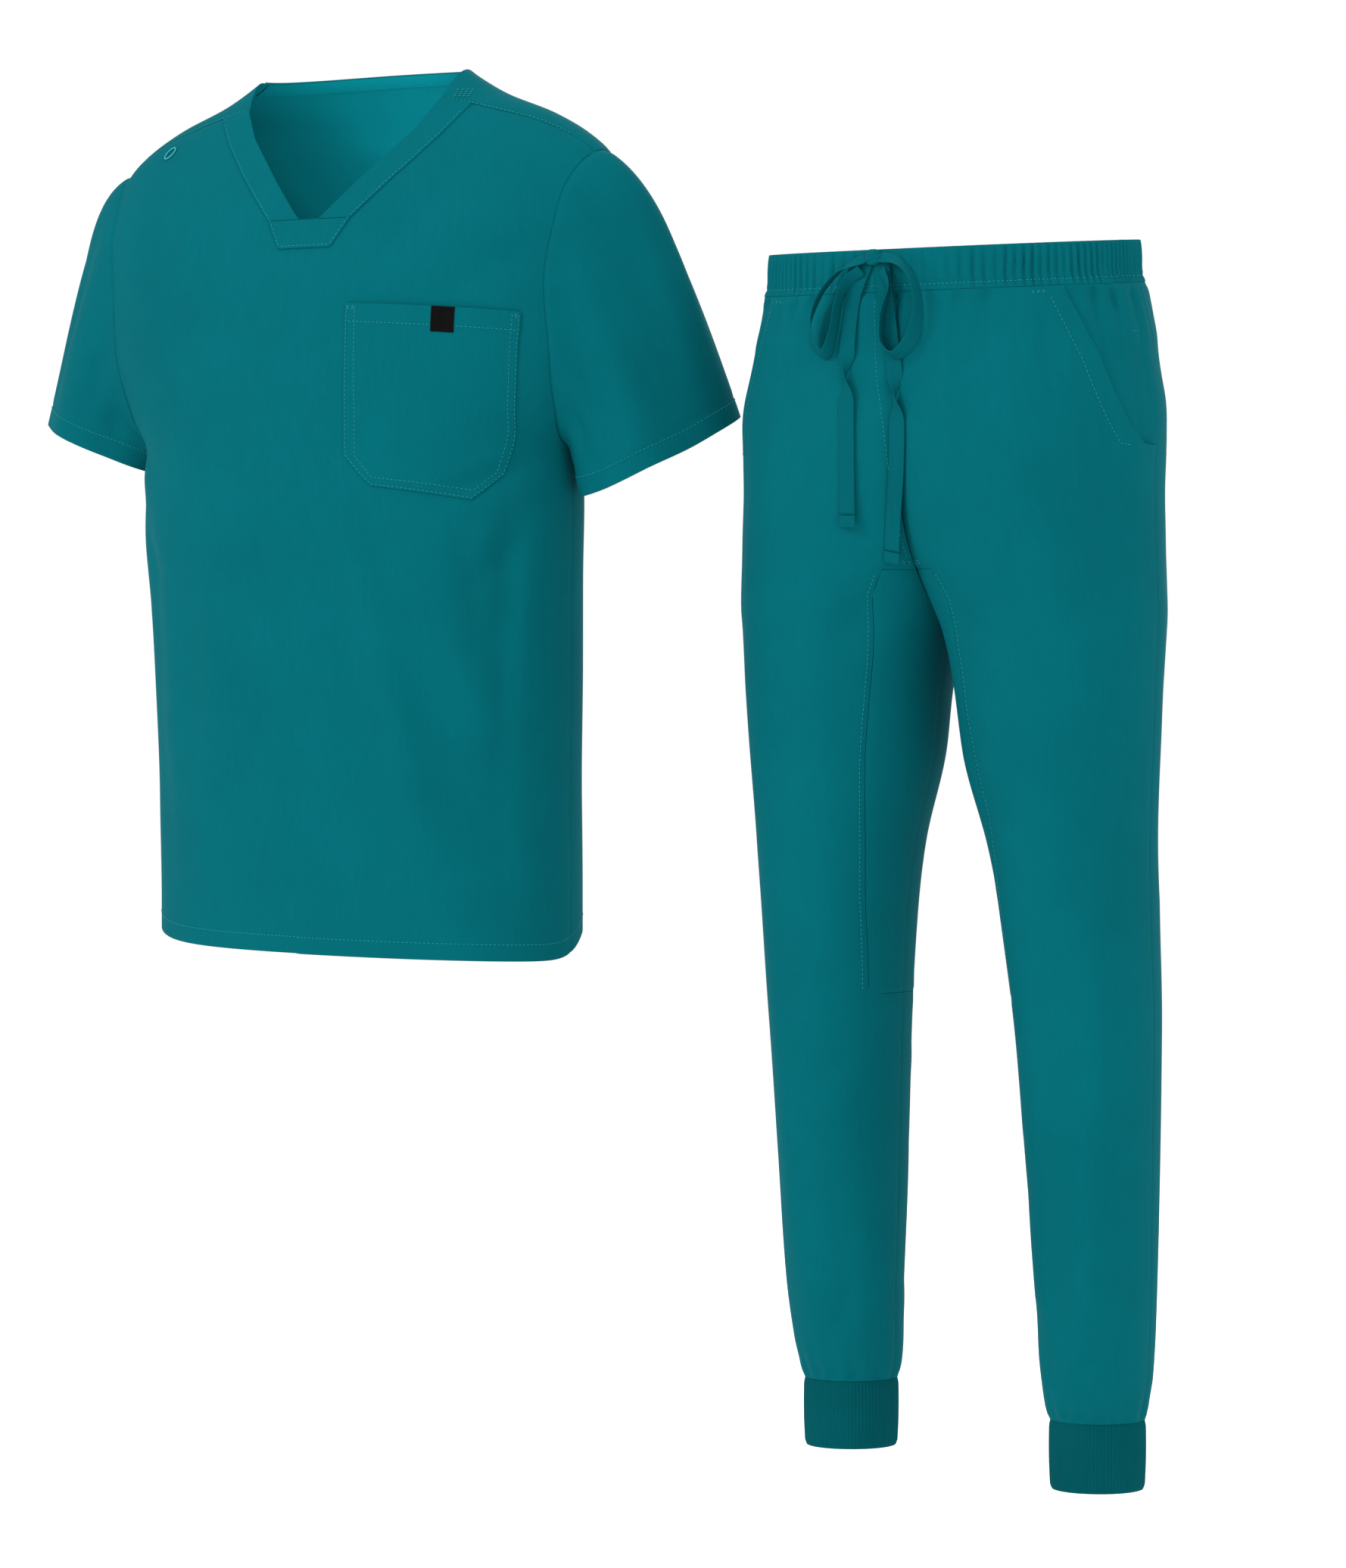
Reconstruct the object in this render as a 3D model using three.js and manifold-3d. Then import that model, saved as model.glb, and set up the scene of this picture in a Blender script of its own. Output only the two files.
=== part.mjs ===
// Medical scrubs: a V-neck top and jogger trousers side by side, both hollow and shaped as worn.
// Millimetres, +Z up. The fronts face -Y and the wearer's left is +X.
// The origin is the middle of the top, level with the points where neck and shoulder meet.
import * as THREE from "three";
import { mergeVertices } from "three/addons/utils/BufferGeometryUtils.js";
import Module from "manifold-3d";

const wasm = await Module();
wasm.setup();

// Cloth, seams and faceting
const WALL = 1.6;
const SEAM_GAP = 0.3;
const LAY_GAP = 0.5;
const TORSO_COLUMNS = 40;
const SLEEVE_COLUMNS = 24;
const LEG_COLUMNS = 36;
const ANGLE_STEP = 0.02;
const LEVEL_STEP = 1;
const CUT_REACH = 420;
const CUT_TOP = 60;
const TROUSER_FOOT = -1300;

// Colours and finishes
const TEAL = { color: 0x006b74, roughness: 0.82, metalness: 0 };
const TEAL_INSIDE = { color: 0x04656d, roughness: 0.86, metalness: 0 };
const TEAL_RIB = { color: 0x00555c, roughness: 0.9, metalness: 0 };
const TAB_BLACK = { color: 0x141214, roughness: 0.7, metalness: 0 };

// Top: one row a level, with the half width, the front and back half depths, the middle and the squareness
const TOP_SECTIONS = [
  { z: 8, half: 92, front: 26, back: 62, middle: 0, square: 2.0 },
  { z: 0, half: 101, front: 31, back: 66, middle: 0, square: 2.0 },
  { z: -10, half: 116, front: 36, back: 73, middle: 0, square: 2.0 },
  { z: -22, half: 138, front: 41, back: 80, middle: 0, square: 2.0 },
  { z: -40, half: 183, front: 47, back: 89, middle: 0, square: 2.0 },
  { z: -58, half: 215, front: 55, back: 96, middle: 0, square: 2.0 },
  { z: -75, half: 235, front: 64, back: 102, middle: 0, square: 2.0 },
  { z: -104, half: 252, front: 79, back: 110, middle: 0, square: 2.0 },
  { z: -141, half: 260, front: 94, back: 116, middle: 0, square: 2.0 },
  { z: -186, half: 254, front: 106, back: 119, middle: 0, square: 2.0 },
  { z: -234, half: 246, front: 115, back: 120, middle: 0, square: 2.0 },
  { z: -289, half: 224, front: 121, back: 119, middle: -1, square: 2.0 },
  { z: -327, half: 206, front: 123, back: 119, middle: -3, square: 2.05 },
  { z: -372, half: 207, front: 123, back: 118, middle: -4, square: 2.1 },
  { z: -430, half: 204, front: 121, back: 115, middle: 0, square: 2.1 },
  { z: -520, half: 201, front: 120, back: 114, middle: 5, square: 2.1 },
  { z: -620, half: 198, front: 119, back: 115, middle: 8, square: 2.1 },
  { z: -700, half: 198, front: 118, back: 116, middle: 9, square: 2.1 },
  { z: -752, half: 198, front: 118, back: 116, middle: 9, square: 2.1 },
];
const TOP_LEVELS = [
  0, -10, -23, -42, -62, -84, -112, -150, -198, -246, -289, -327, -372, -440, -530, -640, -752,
];
const NECK_BACK_RISE = 7;
const HEM_LEVEL = -740;
// Where the hem rises at each side: how far behind the side seam, how much, and over what reach
const HEM_CORNERS = {
  left: { behind: 43, rise: 24, reach: 38 },
  right: { behind: -16, rise: 16, reach: 55 },
};
const HEM_SLOPE = 0.03;

// Soft folds in the top: side of the body in turns from the centre front, and the levels they run between
const TOP_FOLDS = [
  { turn: 0.02, drift: 0.05, from: -365, to: -700, width: 0.018, depth: -3.2 },
  { turn: 0.055, drift: 0.045, from: -420, to: -720, width: 0.016, depth: 2.6 },
  { turn: 0.17, drift: -0.01, from: -340, to: -640, width: 0.014, depth: -3.0 },
  { turn: -0.16, drift: 0.015, from: -345, to: -560, width: 0.016, depth: -2.6 },
  { turn: -0.06, drift: -0.03, from: -430, to: -715, width: 0.02, depth: 1.8 },
  { turn: 0.36, drift: 0.03, from: -300, to: -650, width: 0.02, depth: -3.0 },
  { turn: -0.37, drift: -0.025, from: -310, to: -690, width: 0.022, depth: -3.2 },
  { turn: 0.49, drift: 0.0, from: -420, to: -720, width: 0.02, depth: 2.2 },
];

// Neck opening and bands, seen from the front
const NECK_EDGE = [
  { x: 10, z: -131 },
  { x: 57, z: -80 },
  { x: 80, z: -55 },
  { x: 96, z: -28 },
  { x: 102, z: -2 },
  { x: 103, z: 30 },
];
const BAND_EDGE = [
  { x: 41, z: -131 },
  { x: 86, z: -83 },
  { x: 106, z: -60 },
  { x: 122, z: -38 },
  { x: 131, z: -20 },
  { x: 137, z: 30 },
];
const BAND_FOOT = { halfTop: 41, halfBottom: 26, z: -156 };

// Forward shoulder seam, seen from above
const SHOULDER_SEAM = [
  { x: 0, y: -33 },
  { x: 97, y: -33 },
  { x: 150, y: -27 },
  { x: 228, y: -13 },
  { x: 420, y: -13 },
];
const SPLIT_LEVEL = -203;

// Armholes, seen from the side
const ARMHOLE = {
  z: -201, halfHeight: 126, halfFrontLeft: 60, halfFrontRight: 50, halfBack: 62, inside: 120,
};

// Sleeves: the hem ring of each, from its middle out to the arm's outer side and to the front
const SLEEVES = [
  {
    name: "sleeve_left",
    side: 1,
    hem: new THREE.Vector3(277, 22, -333),
    outer: new THREE.Vector3(63, 14, 28),
    front: new THREE.Vector3(-3, -51, -20),
    rootPull: new THREE.Vector3(0.87, 0.45, -0.34),
    rootLength: 0.8,
    hemPull: new THREE.Vector3(0.32, 0.08, -0.94),
    cap: 1,
  },
  {
    name: "sleeve_right",
    side: -1,
    hem: new THREE.Vector3(273, 16, -314),
    outer: new THREE.Vector3(62, 8, 25),
    front: new THREE.Vector3(3, -52, 2),
    rootPull: new THREE.Vector3(0.93, 0.45, -0.22),
    rootLength: 0.66,
    hemPull: new THREE.Vector3(0.3, 0.04, -0.95),
    cap: 3,
  },
];
const SLEEVE_PROUD = 1;
const SLEEVE_ROOT_DROOP = 0.2;
const SLEEVE_ROWS = [0, 0.08, 0.2, 0.36, 0.55, 0.77, 1];
const SLEEVE_FOLDS = [
  { turn: 0.12, width: 0.045, depth: -2.6 },
  { turn: 0.21, width: 0.04, depth: 2.2 },
  { turn: 0.33, width: 0.05, depth: -3.0 },
  { turn: 0.68, width: 0.05, depth: -2.8 },
  { turn: 0.82, width: 0.05, depth: 2.0 },
];

// Chest pocket: a row a level, with its two edges seen from the front and how far the outer edge drops
const POCKET_ROWS = [
  { z: -205, inner: 48, outer: 195, drop: 10, hem: 1 },
  { z: -221, inner: 48, outer: 194, drop: 10, hem: 1 },
  { z: -223, inner: 48, outer: 194, drop: 10, hem: 0 },
  { z: -262, inner: 50, outer: 190, drop: 12, hem: 0 },
  { z: -300, inner: 52, outer: 185, drop: 14, hem: 0 },
  { z: -333, inner: 54, outer: 179, drop: 16, hem: 0 },
  { z: -347, inner: 66, outer: 168, drop: 14, hem: 0 },
  { z: -359, inner: 78, outer: 157, drop: 12, hem: 0 },
];
const POCKET_COLUMNS = 8;
const POCKET_CLOTH = 1.1;
const POCKET_HEM_CLOTH = 1.7;
const TAB = { x: 117, z: -212, width: 19, height: 21, cloth: 0.9 };
const BINDING = { height: 9, cloth: 0.9, reach: 0.235, drop: 0.6 };
const LOOP = {
  angle: -0.92, z: -62, halfWide: 4.2, halfHigh: 6.4, cord: 0.8, lift: 0.85,
  steps: 14, sides: 6,
};

// Trousers: middle of the pair, and one row a level for a leg, seen from above.
// out is how far the leg's middle lies from the pair's, half its half width.
const PAIR_X = 558.7;
const LEG_SECTIONS = [
  { z: -150, out: 24, half: 132, front: 110, back: 108, middle: 0 },
  { z: -192, out: 24, half: 132, front: 110, back: 108, middle: 0 },
  { z: -209, out: 26, half: 136, front: 111, back: 109, middle: 0 },
  { z: -228, out: 27, half: 140, front: 113, back: 111, middle: 0 },
  { z: -252, out: 28, half: 144, front: 114, back: 113, middle: -1 },
  { z: -290, out: 34, half: 144, front: 116, back: 116, middle: -2 },
  { z: -335, out: 46, half: 133, front: 116, back: 118, middle: -2 },
  { z: -370, out: 56, half: 122, front: 115, back: 117, middle: -2 },
  { z: -400, out: 66, half: 112.5, front: 113, back: 115, middle: -2 },
  { z: -425, out: 75, half: 104, front: 109, back: 112, middle: -2 },
  { z: -448, out: 83, half: 97, front: 104, back: 108, middle: -2 },
  { z: -466, out: 88, half: 92.5, front: 101, back: 104, middle: -1 },
  { z: -480, out: 90.5, half: 89.4, front: 98, back: 101, middle: 0 },
  { z: -520, out: 94, half: 84, front: 92, back: 95, middle: 0 },
  { z: -578, out: 96, half: 79, front: 88, back: 90, middle: 2 },
  { z: -652, out: 103.5, half: 67.5, front: 78, back: 81, middle: 5 },
  { z: -707, out: 107.5, half: 62, front: 74, back: 77, middle: 10 },
  { z: -800, out: 111.5, half: 57, front: 67, back: 70, middle: 19 },
  { z: -910, out: 112.5, half: 52, front: 62, back: 65, middle: 26 },
  { z: -1021, out: 113.5, half: 47, front: 54, back: 57, middle: 31 },
  { z: -1076, out: 112, half: 44, front: 49, back: 52, middle: 36 },
  { z: -1098, out: 111, half: 41, front: 44, back: 46, middle: 38 },
  { z: -1111, out: 111, half: 38.5, front: 39, back: 39.5, middle: 39 },
  { z: -1170, out: 111, half: 37.5, front: 38, back: 38, middle: 39 },
];
const WAIST_TOP = -171;
const WAIST_SEAM = -205;
const WAIST_TILT = 0.085;
const WAIST_TILT_REACH = 90;
const LEG_STEP = { from: -700, to: -1100, drop: 11 };
const CUFF_TOP = -1110;
const CUFF_BOTTOM = -1166;
const LEG_LEVELS = [
  WAIST_SEAM - SEAM_GAP, -224, -252, -300, -355, -395, -425, -448, -468, -483, -530, -600, -680,
  -790, -910, -1025, -1080, CUFF_TOP + SEAM_GAP,
];

// Gathers of the waist, the small pleats under it, and the ribs of the cuffs
const WAIST_GATHERS = 88;
const GATHER_HEIGHT = 1.3;
const WAIST_WALL = 3;
const PLEATS_A_LEG = 9;
const PLEAT_HEIGHT = 2.4;
const PLEAT_REACH = 42;
const CUFF_RIBS = 84;
const RIB_HEIGHT = 0.55;
const CUFF_WALL = 2.2;

// Soft folds of the trouser legs, in turns from the front of the leg towards its outer side
const LEG_FOLDS = [
  { turn: 0.06, drift: 0.02, from: -250, to: -560, width: 0.03, depth: 2.0 },
  { turn: 0.17, drift: -0.02, from: -230, to: -520, width: 0.025, depth: -2.6 },
  { turn: 0.3, drift: 0.03, from: -330, to: -700, width: 0.03, depth: -2.4 },
  { turn: 0.1, drift: -0.03, from: -640, to: -1040, width: 0.035, depth: 2.0 },
  { turn: 0.42, drift: 0.03, from: -600, to: -980, width: 0.035, depth: -2.4 },
  { turn: 0.62, drift: -0.03, from: -620, to: -900, width: 0.035, depth: -2.0 },
];

// Panel lines of the trousers, seen from the front, from the pair's middle
const INNER_PANEL = [
  { x: 21, z: -434 },
  { x: 31, z: -455 },
  { x: 40, z: -520 },
  { x: 47, z: -580 },
  { x: 54, z: -640 },
  { x: 60, z: -700 },
  { x: 65, z: -778 },
];
const PANEL_PAST_MIDDLE = 10;
const POCKET_MOUTH = [
  { x: 126, z: -150 },
  { x: 129, z: -212 },
  { x: 141.5, z: -239 },
  { x: 154, z: -268 },
  { x: 166.5, z: -303 },
  { x: 177.5, z: -336 },
  { x: 240, z: -352 },
];

// Drawstring tape at the front of the waist, from the pair's middle
const TAPE = { width: 13.5, cloth: 1.4, sides: 8 };
const KNOT = {
  x: -17, z: -187, halfWide: 8, halfHigh: 7, halfDeep: 4, lift: 0.9, columns: 10, rows: 6,
};
const TAPES = [
  {
    name: "drawstring_loop_left",
    steps: 15,
    route: [
      { x: -11, z: -187, out: 5 },
      { x: 4, z: -190, out: 7.5 },
      { x: 21, z: -205, out: 9.5 },
      { x: 27, z: -230, out: 9 },
      { x: 21, z: -254, out: 7.5 },
      { x: 6, z: -266, out: 6 },
      { x: -5, z: -256, out: 5.2 },
      { x: -6, z: -235, out: 5.6 },
      { x: -2, z: -213, out: 6.4 },
      { x: -9, z: -197, out: 7.2 },
    ],
  },
  {
    name: "drawstring_loop_right",
    steps: 15,
    route: [
      { x: -23, z: -187, out: 5 },
      { x: -41, z: -195, out: 7.5 },
      { x: -59, z: -213, out: 9.5 },
      { x: -69, z: -236, out: 8.5 },
      { x: -68, z: -254, out: 6.5 },
      { x: -56, z: -263, out: 5 },
      { x: -49, z: -246, out: 5.2 },
      { x: -45, z: -222, out: 5.8 },
      { x: -37, z: -205, out: 6.6 },
      { x: -26, z: -197, out: 7.2 },
    ],
  },
  {
    name: "drawstring_tail_left",
    steps: 12,
    route: [
      { x: -10.5, z: -190, out: 2.6 },
      { x: -7, z: -215, out: 2.8 },
      { x: -1, z: -250, out: 2.4 },
      { x: 5, z: -290, out: 1.8 },
      { x: 5, z: -325, out: 1.6 },
      { x: 2, z: -360, out: 1.6 },
      { x: -5, z: -400, out: 1.6 },
      { x: -9, z: -420, out: 1.6 },
    ],
  },
  {
    name: "drawstring_tail_right",
    steps: 11,
    route: [
      { x: -24.3, z: -190, out: 2.6 },
      { x: -34, z: -215, out: 2.6 },
      { x: -38, z: -250, out: 2.2 },
      { x: -38, z: -290, out: 1.8 },
      { x: -38, z: -340, out: 1.6 },
      { x: -39, z: -391, out: 1.6 },
    ],
  },
];
const TIP = { length: 9.5, width: 14.4, cloth: 2.2, gap: 0.4, lift: 0.2 };

// Smooth value of one column of a table at a level, with no overshoot between its rows
function columnAt(rows, key, z) {
  const order = rows[0].z < rows[rows.length - 1].z ? rows : [...rows].reverse();
  const last = order.length - 1;
  if (z <= order[0].z) return order[0][key];
  if (z >= order[last].z) return order[last][key];
  let i = 0;
  while (z > order[i + 1].z) i += 1;
  const slope = (k) => (order[k + 1][key] - order[k][key]) / (order[k + 1].z - order[k].z);
  const tangent = (k) => {
    if (k === 0) return slope(0);
    if (k === last) return slope(last - 1);
    const a = slope(k - 1);
    const b = slope(k);
    return a * b <= 0 ? 0 : (2 * a * b) / (a + b);
  };
  const step = order[i + 1].z - order[i].z;
  const t = (z - order[i].z) / step;
  const t2 = t * t;
  const t3 = t2 * t;
  return (2 * t3 - 3 * t2 + 1) * order[i][key] + (t3 - 2 * t2 + t) * step * tangent(i)
    + (3 * t2 - 2 * t3) * order[i + 1][key] + (t3 - t2) * step * tangent(i + 1);
}

const power = (value, exponent) => Math.sign(value) * Math.abs(value) ** exponent;

// Height of all the soft folds at a turn and a level: each fades in and out along its length
function foldHeight(folds, turn, z) {
  let height = 0;
  for (const fold of folds) {
    const along = fold.from === undefined ? 0.5 : (fold.from - z) / (fold.from - fold.to);
    if (along <= 0 || along >= 1) continue;
    const centre = fold.turn + (fold.drift ?? 0) * along;
    const away = ((turn - centre + 1.5) % 1) - 0.5;
    height += fold.depth * Math.sin(Math.PI * along) ** 0.8 * Math.exp(-((away / fold.width) ** 2));
  }
  return height;
}

// Point of the top's outer face at an angle from the centre front and a level
function topPoint(angle, z) {
  const at = (key) => columnAt(TOP_SECTIONS, key, z);
  const shape = 2 / at("square");
  const sin = power(Math.sin(angle), shape);
  const cos = power(Math.cos(angle), shape);
  const depth = cos > 0 ? at("front") : at("back");
  const fold = foldHeight(TOP_FOLDS, angle / (2 * Math.PI), z);
  return new THREE.Vector3(
    at("half") * sin + fold * Math.sin(angle),
    at("middle") - depth * cos - fold * Math.cos(angle),
    z,
  );
}

// Angle on the front of the top at a distance from the middle and a level
function topAngle(x, z) {
  const ratio = THREE.MathUtils.clamp(Math.abs(x) / columnAt(TOP_SECTIONS, "half", z), 0, 1);
  return Math.sign(x) * Math.asin(ratio ** (columnAt(TOP_SECTIONS, "square", z) / 2));
}

// Point of a leg's outer face, on the wearer's left, at an angle from its front and a level
function legPoint(angle, z, pleats = true) {
  const at = (key) => columnAt(LEG_SECTIONS, key, z);
  const sin = Math.sin(angle);
  const cos = Math.cos(angle);
  const below = Math.max(0, WAIST_SEAM - z);
  const gather = pleats ? PLEAT_HEIGHT * Math.exp(-below / PLEAT_REACH) * Math.cos(PLEATS_A_LEG * angle) : 0;
  const height = gather + foldHeight(LEG_FOLDS, angle / (2 * Math.PI), z);
  const depth = cos > 0 ? at("front") : at("back");
  const y = at("middle") - depth * cos - height * cos;
  const tilt = WAIST_TILT * y * Math.max(0, 1 - below / WAIST_TILT_REACH);
  return new THREE.Vector3(at("out") + at("half") * sin + height * sin, y, z + tilt);
}

// Front of the trousers read by the distance from the pair's middle and a level
function legFront(x, z) {
  const side = x < 0 ? -1 : 1;
  const out = columnAt(LEG_SECTIONS, "out", z);
  const half = columnAt(LEG_SECTIONS, "half", z);
  const angle = Math.asin(THREE.MathUtils.clamp((Math.abs(x) - out) / half, -1, 1));
  const p = legPoint(angle, z, false);
  return new THREE.Vector3(side * Math.abs(x), p.y, z);
}

// Drop of one leg against the other below the thigh, as the wearer steps
function legDrop(side, z) {
  const t = THREE.MathUtils.clamp((LEG_STEP.from - z) / (LEG_STEP.from - LEG_STEP.to), 0, 1);
  return -side * LEG_STEP.drop * t;
}

// Outward normal of a face given by two numbers, from small steps along both
function faceNormal(point, u, v, du, dv) {
  const alongU = point(u + du, v).sub(point(u - du, v));
  const alongV = point(u, v + dv).sub(point(u, v - dv));
  return alongU.cross(alongV).normalize();
}

// Closed solid from a list of rings of outer points and a list of rings of inner points.
// An inner ring may have fewer points than an outer one: one for every innerStep of them.
function ringSolid(outer, inner, innerStep = 1) {
  const columns = outer[0].length;
  const innerColumns = columns / innerStep;
  const points = [...outer.flat(), ...inner.flat()];
  const faces = [];
  const outerAt = (row, i) => row * columns + ((i + columns) % columns);
  const base = outer.length * columns;
  const innerAt = (row, i) => base + row * innerColumns + ((i + innerColumns) % innerColumns);
  for (let row = 0; row < outer.length - 1; row += 1) {
    for (let i = 0; i < columns; i += 1) {
      faces.push(outerAt(row, i), outerAt(row + 1, i), outerAt(row + 1, i + 1));
      faces.push(outerAt(row, i), outerAt(row + 1, i + 1), outerAt(row, i + 1));
    }
  }
  for (let row = 0; row < inner.length - 1; row += 1) {
    for (let i = 0; i < innerColumns; i += 1) {
      faces.push(innerAt(row, i), innerAt(row + 1, i + 1), innerAt(row + 1, i));
      faces.push(innerAt(row, i), innerAt(row, i + 1), innerAt(row + 1, i + 1));
    }
  }
  const top = [0, 0];
  const bottom = [outer.length - 1, inner.length - 1];
  for (let i = 0; i < innerColumns; i += 1) {
    for (let k = 0; k < innerStep; k += 1) {
      const j = i * innerStep + k;
      faces.push(outerAt(top[0], j), outerAt(top[0], j + 1), innerAt(top[1], i));
      faces.push(outerAt(bottom[0], j + 1), outerAt(bottom[0], j), innerAt(bottom[1], i));
    }
    const next = (i + 1) * innerStep;
    faces.push(outerAt(top[0], next), innerAt(top[1], i + 1), innerAt(top[1], i));
    faces.push(innerAt(bottom[1], i + 1), outerAt(bottom[0], next), innerAt(bottom[1], i));
  }
  return solidFrom(points, faces);
}

// Closed solid between two grids of the same size, edged all round
function patchSolid(outer, inner) {
  const rows = outer.length;
  const columns = outer[0].length;
  const points = [...outer.flat(), ...inner.flat()];
  const top = (r, c) => r * columns + c;
  const low = (r, c) => rows * columns + r * columns + c;
  const faces = [];
  const quad = (a, b, c, d) => faces.push(a, b, c, a, c, d);
  for (let r = 0; r < rows - 1; r += 1) {
    for (let c = 0; c < columns - 1; c += 1) {
      quad(top(r, c), top(r + 1, c), top(r + 1, c + 1), top(r, c + 1));
      quad(low(r, c), low(r, c + 1), low(r + 1, c + 1), low(r + 1, c));
    }
    quad(top(r, 0), low(r, 0), low(r + 1, 0), top(r + 1, 0));
    quad(top(r, columns - 1), top(r + 1, columns - 1), low(r + 1, columns - 1), low(r, columns - 1));
  }
  for (let c = 0; c < columns - 1; c += 1) {
    quad(top(0, c), top(0, c + 1), low(0, c + 1), low(0, c));
    quad(top(rows - 1, c), low(rows - 1, c), low(rows - 1, c + 1), top(rows - 1, c + 1));
  }
  return solidFrom(points, faces);
}

function solidFrom(points, faces) {
  const vertProperties = new Float32Array(points.flatMap((p) => [p.x, p.y, p.z]));
  const triVerts = new Uint32Array(faces);
  const solid = new wasm.Manifold(new wasm.Mesh({ numProp: 3, vertProperties, triVerts }));
  return solid.volume() < 0 ? solidFrom(points, [...faces].reverse()) : solid;
}

function solidFromGeometry(geometry) {
  geometry.deleteAttribute("normal");
  geometry.deleteAttribute("uv");
  const merged = mergeVertices(geometry, 1e-4);
  const vertProperties = new Float32Array(merged.attributes.position.array);
  const faces = [...merged.index.array];
  const solidOf = (order) => new wasm.Manifold(
    new wasm.Mesh({ numProp: 3, vertProperties, triVerts: new Uint32Array(order) }),
  );
  const solid = solidOf(faces);
  return solid.volume() < 0 ? solidOf([...faces].reverse()) : solid;
}

const PRISM_TURN = {
  front: new THREE.Matrix4().set(1, 0, 0, 0, 0, 0, 1, 0, 0, 1, 0, 0, 0, 0, 0, 1),
  side: new THREE.Matrix4().set(0, 0, 1, 0, 1, 0, 0, 0, 0, 1, 0, 0, 0, 0, 0, 1),
};

// Prism of a flat outline: "front" outlines hold x and z, "side" ones y and z, "above" ones x and y
function prism(outline, seenFrom, from, to) {
  const shape = new THREE.Shape(outline.map(([a, b]) => new THREE.Vector2(a, b)));
  const geometry = new THREE.ExtrudeGeometry(shape, { depth: to - from, bevelEnabled: false });
  geometry.translate(0, 0, from);
  if (seenFrom !== "above") geometry.applyMatrix4(PRISM_TURN[seenFrom]);
  return solidFromGeometry(geometry);
}

// Largest body of a cut solid: slivers that a cut leaves behind are dropped
function mainBody(solid) {
  const bodies = solid.decompose();
  return bodies.reduce((best, body) => (body.volume() > best.volume() ? body : best));
}

// Named mesh of one solid in one finish
function pieceMesh(name, solid, finish, x = 0) {
  const { vertProperties, triVerts } = mainBody(solid).getMesh();
  const geometry = new THREE.BufferGeometry();
  geometry.setAttribute("position", new THREE.BufferAttribute(new Float32Array(vertProperties), 3));
  geometry.setIndex(new THREE.BufferAttribute(new Uint32Array(triVerts), 1));
  geometry.computeVertexNormals();
  const mesh = new THREE.Mesh(geometry, new THREE.MeshStandardMaterial(finish));
  mesh.name = name;
  mesh.position.x = x;
  return mesh;
}

// Point of the top's outer face moved out along its normal
function liftedTop(angle, z, lift) {
  const normal = faceNormal(topPoint, angle, z, ANGLE_STEP, LEVEL_STEP);
  const away = new THREE.Vector3(Math.sin(angle), -Math.cos(angle), 0.2);
  if (normal.dot(away) < 0) normal.negate();
  return topPoint(angle, z).addScaledVector(normal, lift);
}

// Rise of the neck edge towards the middle of the back
const neckRise = (angle) => NECK_BACK_RISE * Math.max(0, -Math.cos(angle)) ** 1.5;

// Wall of the whole body of the top before it is cut into panels, its outer face moved out by a lift
function topShell(lift = 0) {
  const hemRise = (angle) => {
    const at = topPoint(angle, HEM_LEVEL);
    const { behind, rise, reach } = at.x > 0 ? HEM_CORNERS.left : HEM_CORNERS.right;
    const away = (at.y - columnAt(TOP_SECTIONS, "middle", HEM_LEVEL) - behind) / reach;
    return rise * Math.exp(-(away ** 2)) - HEM_SLOPE * at.x;
  };
  const level = (angle, row) => {
    const z = TOP_LEVELS[row];
    if (row === 0) return neckRise(angle);
    if (row === 1) return z + 0.5 * neckRise(angle);
    if (row === TOP_LEVELS.length - 1) return z + hemRise(angle);
    return z;
  };
  const outer = [];
  const inner = [];
  for (let row = 0; row < TOP_LEVELS.length; row += 1) {
    outer.push([]);
    inner.push([]);
    for (let i = 0; i < TORSO_COLUMNS; i += 1) {
      const angle = (2 * Math.PI * i) / TORSO_COLUMNS;
      const z = level(angle, row);
      outer[row].push(liftedTop(angle, z, lift));
      inner[row].push(liftedTop(angle, z, -WALL));
    }
  }
  return ringSolid(outer, inner);
}

const mirrored = (rows, side) => rows.map(({ x, z }) => [side * x, z]);

// Outline between two edges of the neck, on one side, down to the top of the band's foot
function bandOutline(side, inset) {
  const inner = NECK_EDGE.map(({ x, z }) => ({ x: x + inset, z }));
  const outer = BAND_EDGE.map(({ x, z }) => ({ x: x - inset, z }));
  inner[0].z += inset;
  outer[0].z += inset;
  return [...mirrored(inner, side), ...mirrored(outer, side).reverse()];
}

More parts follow.
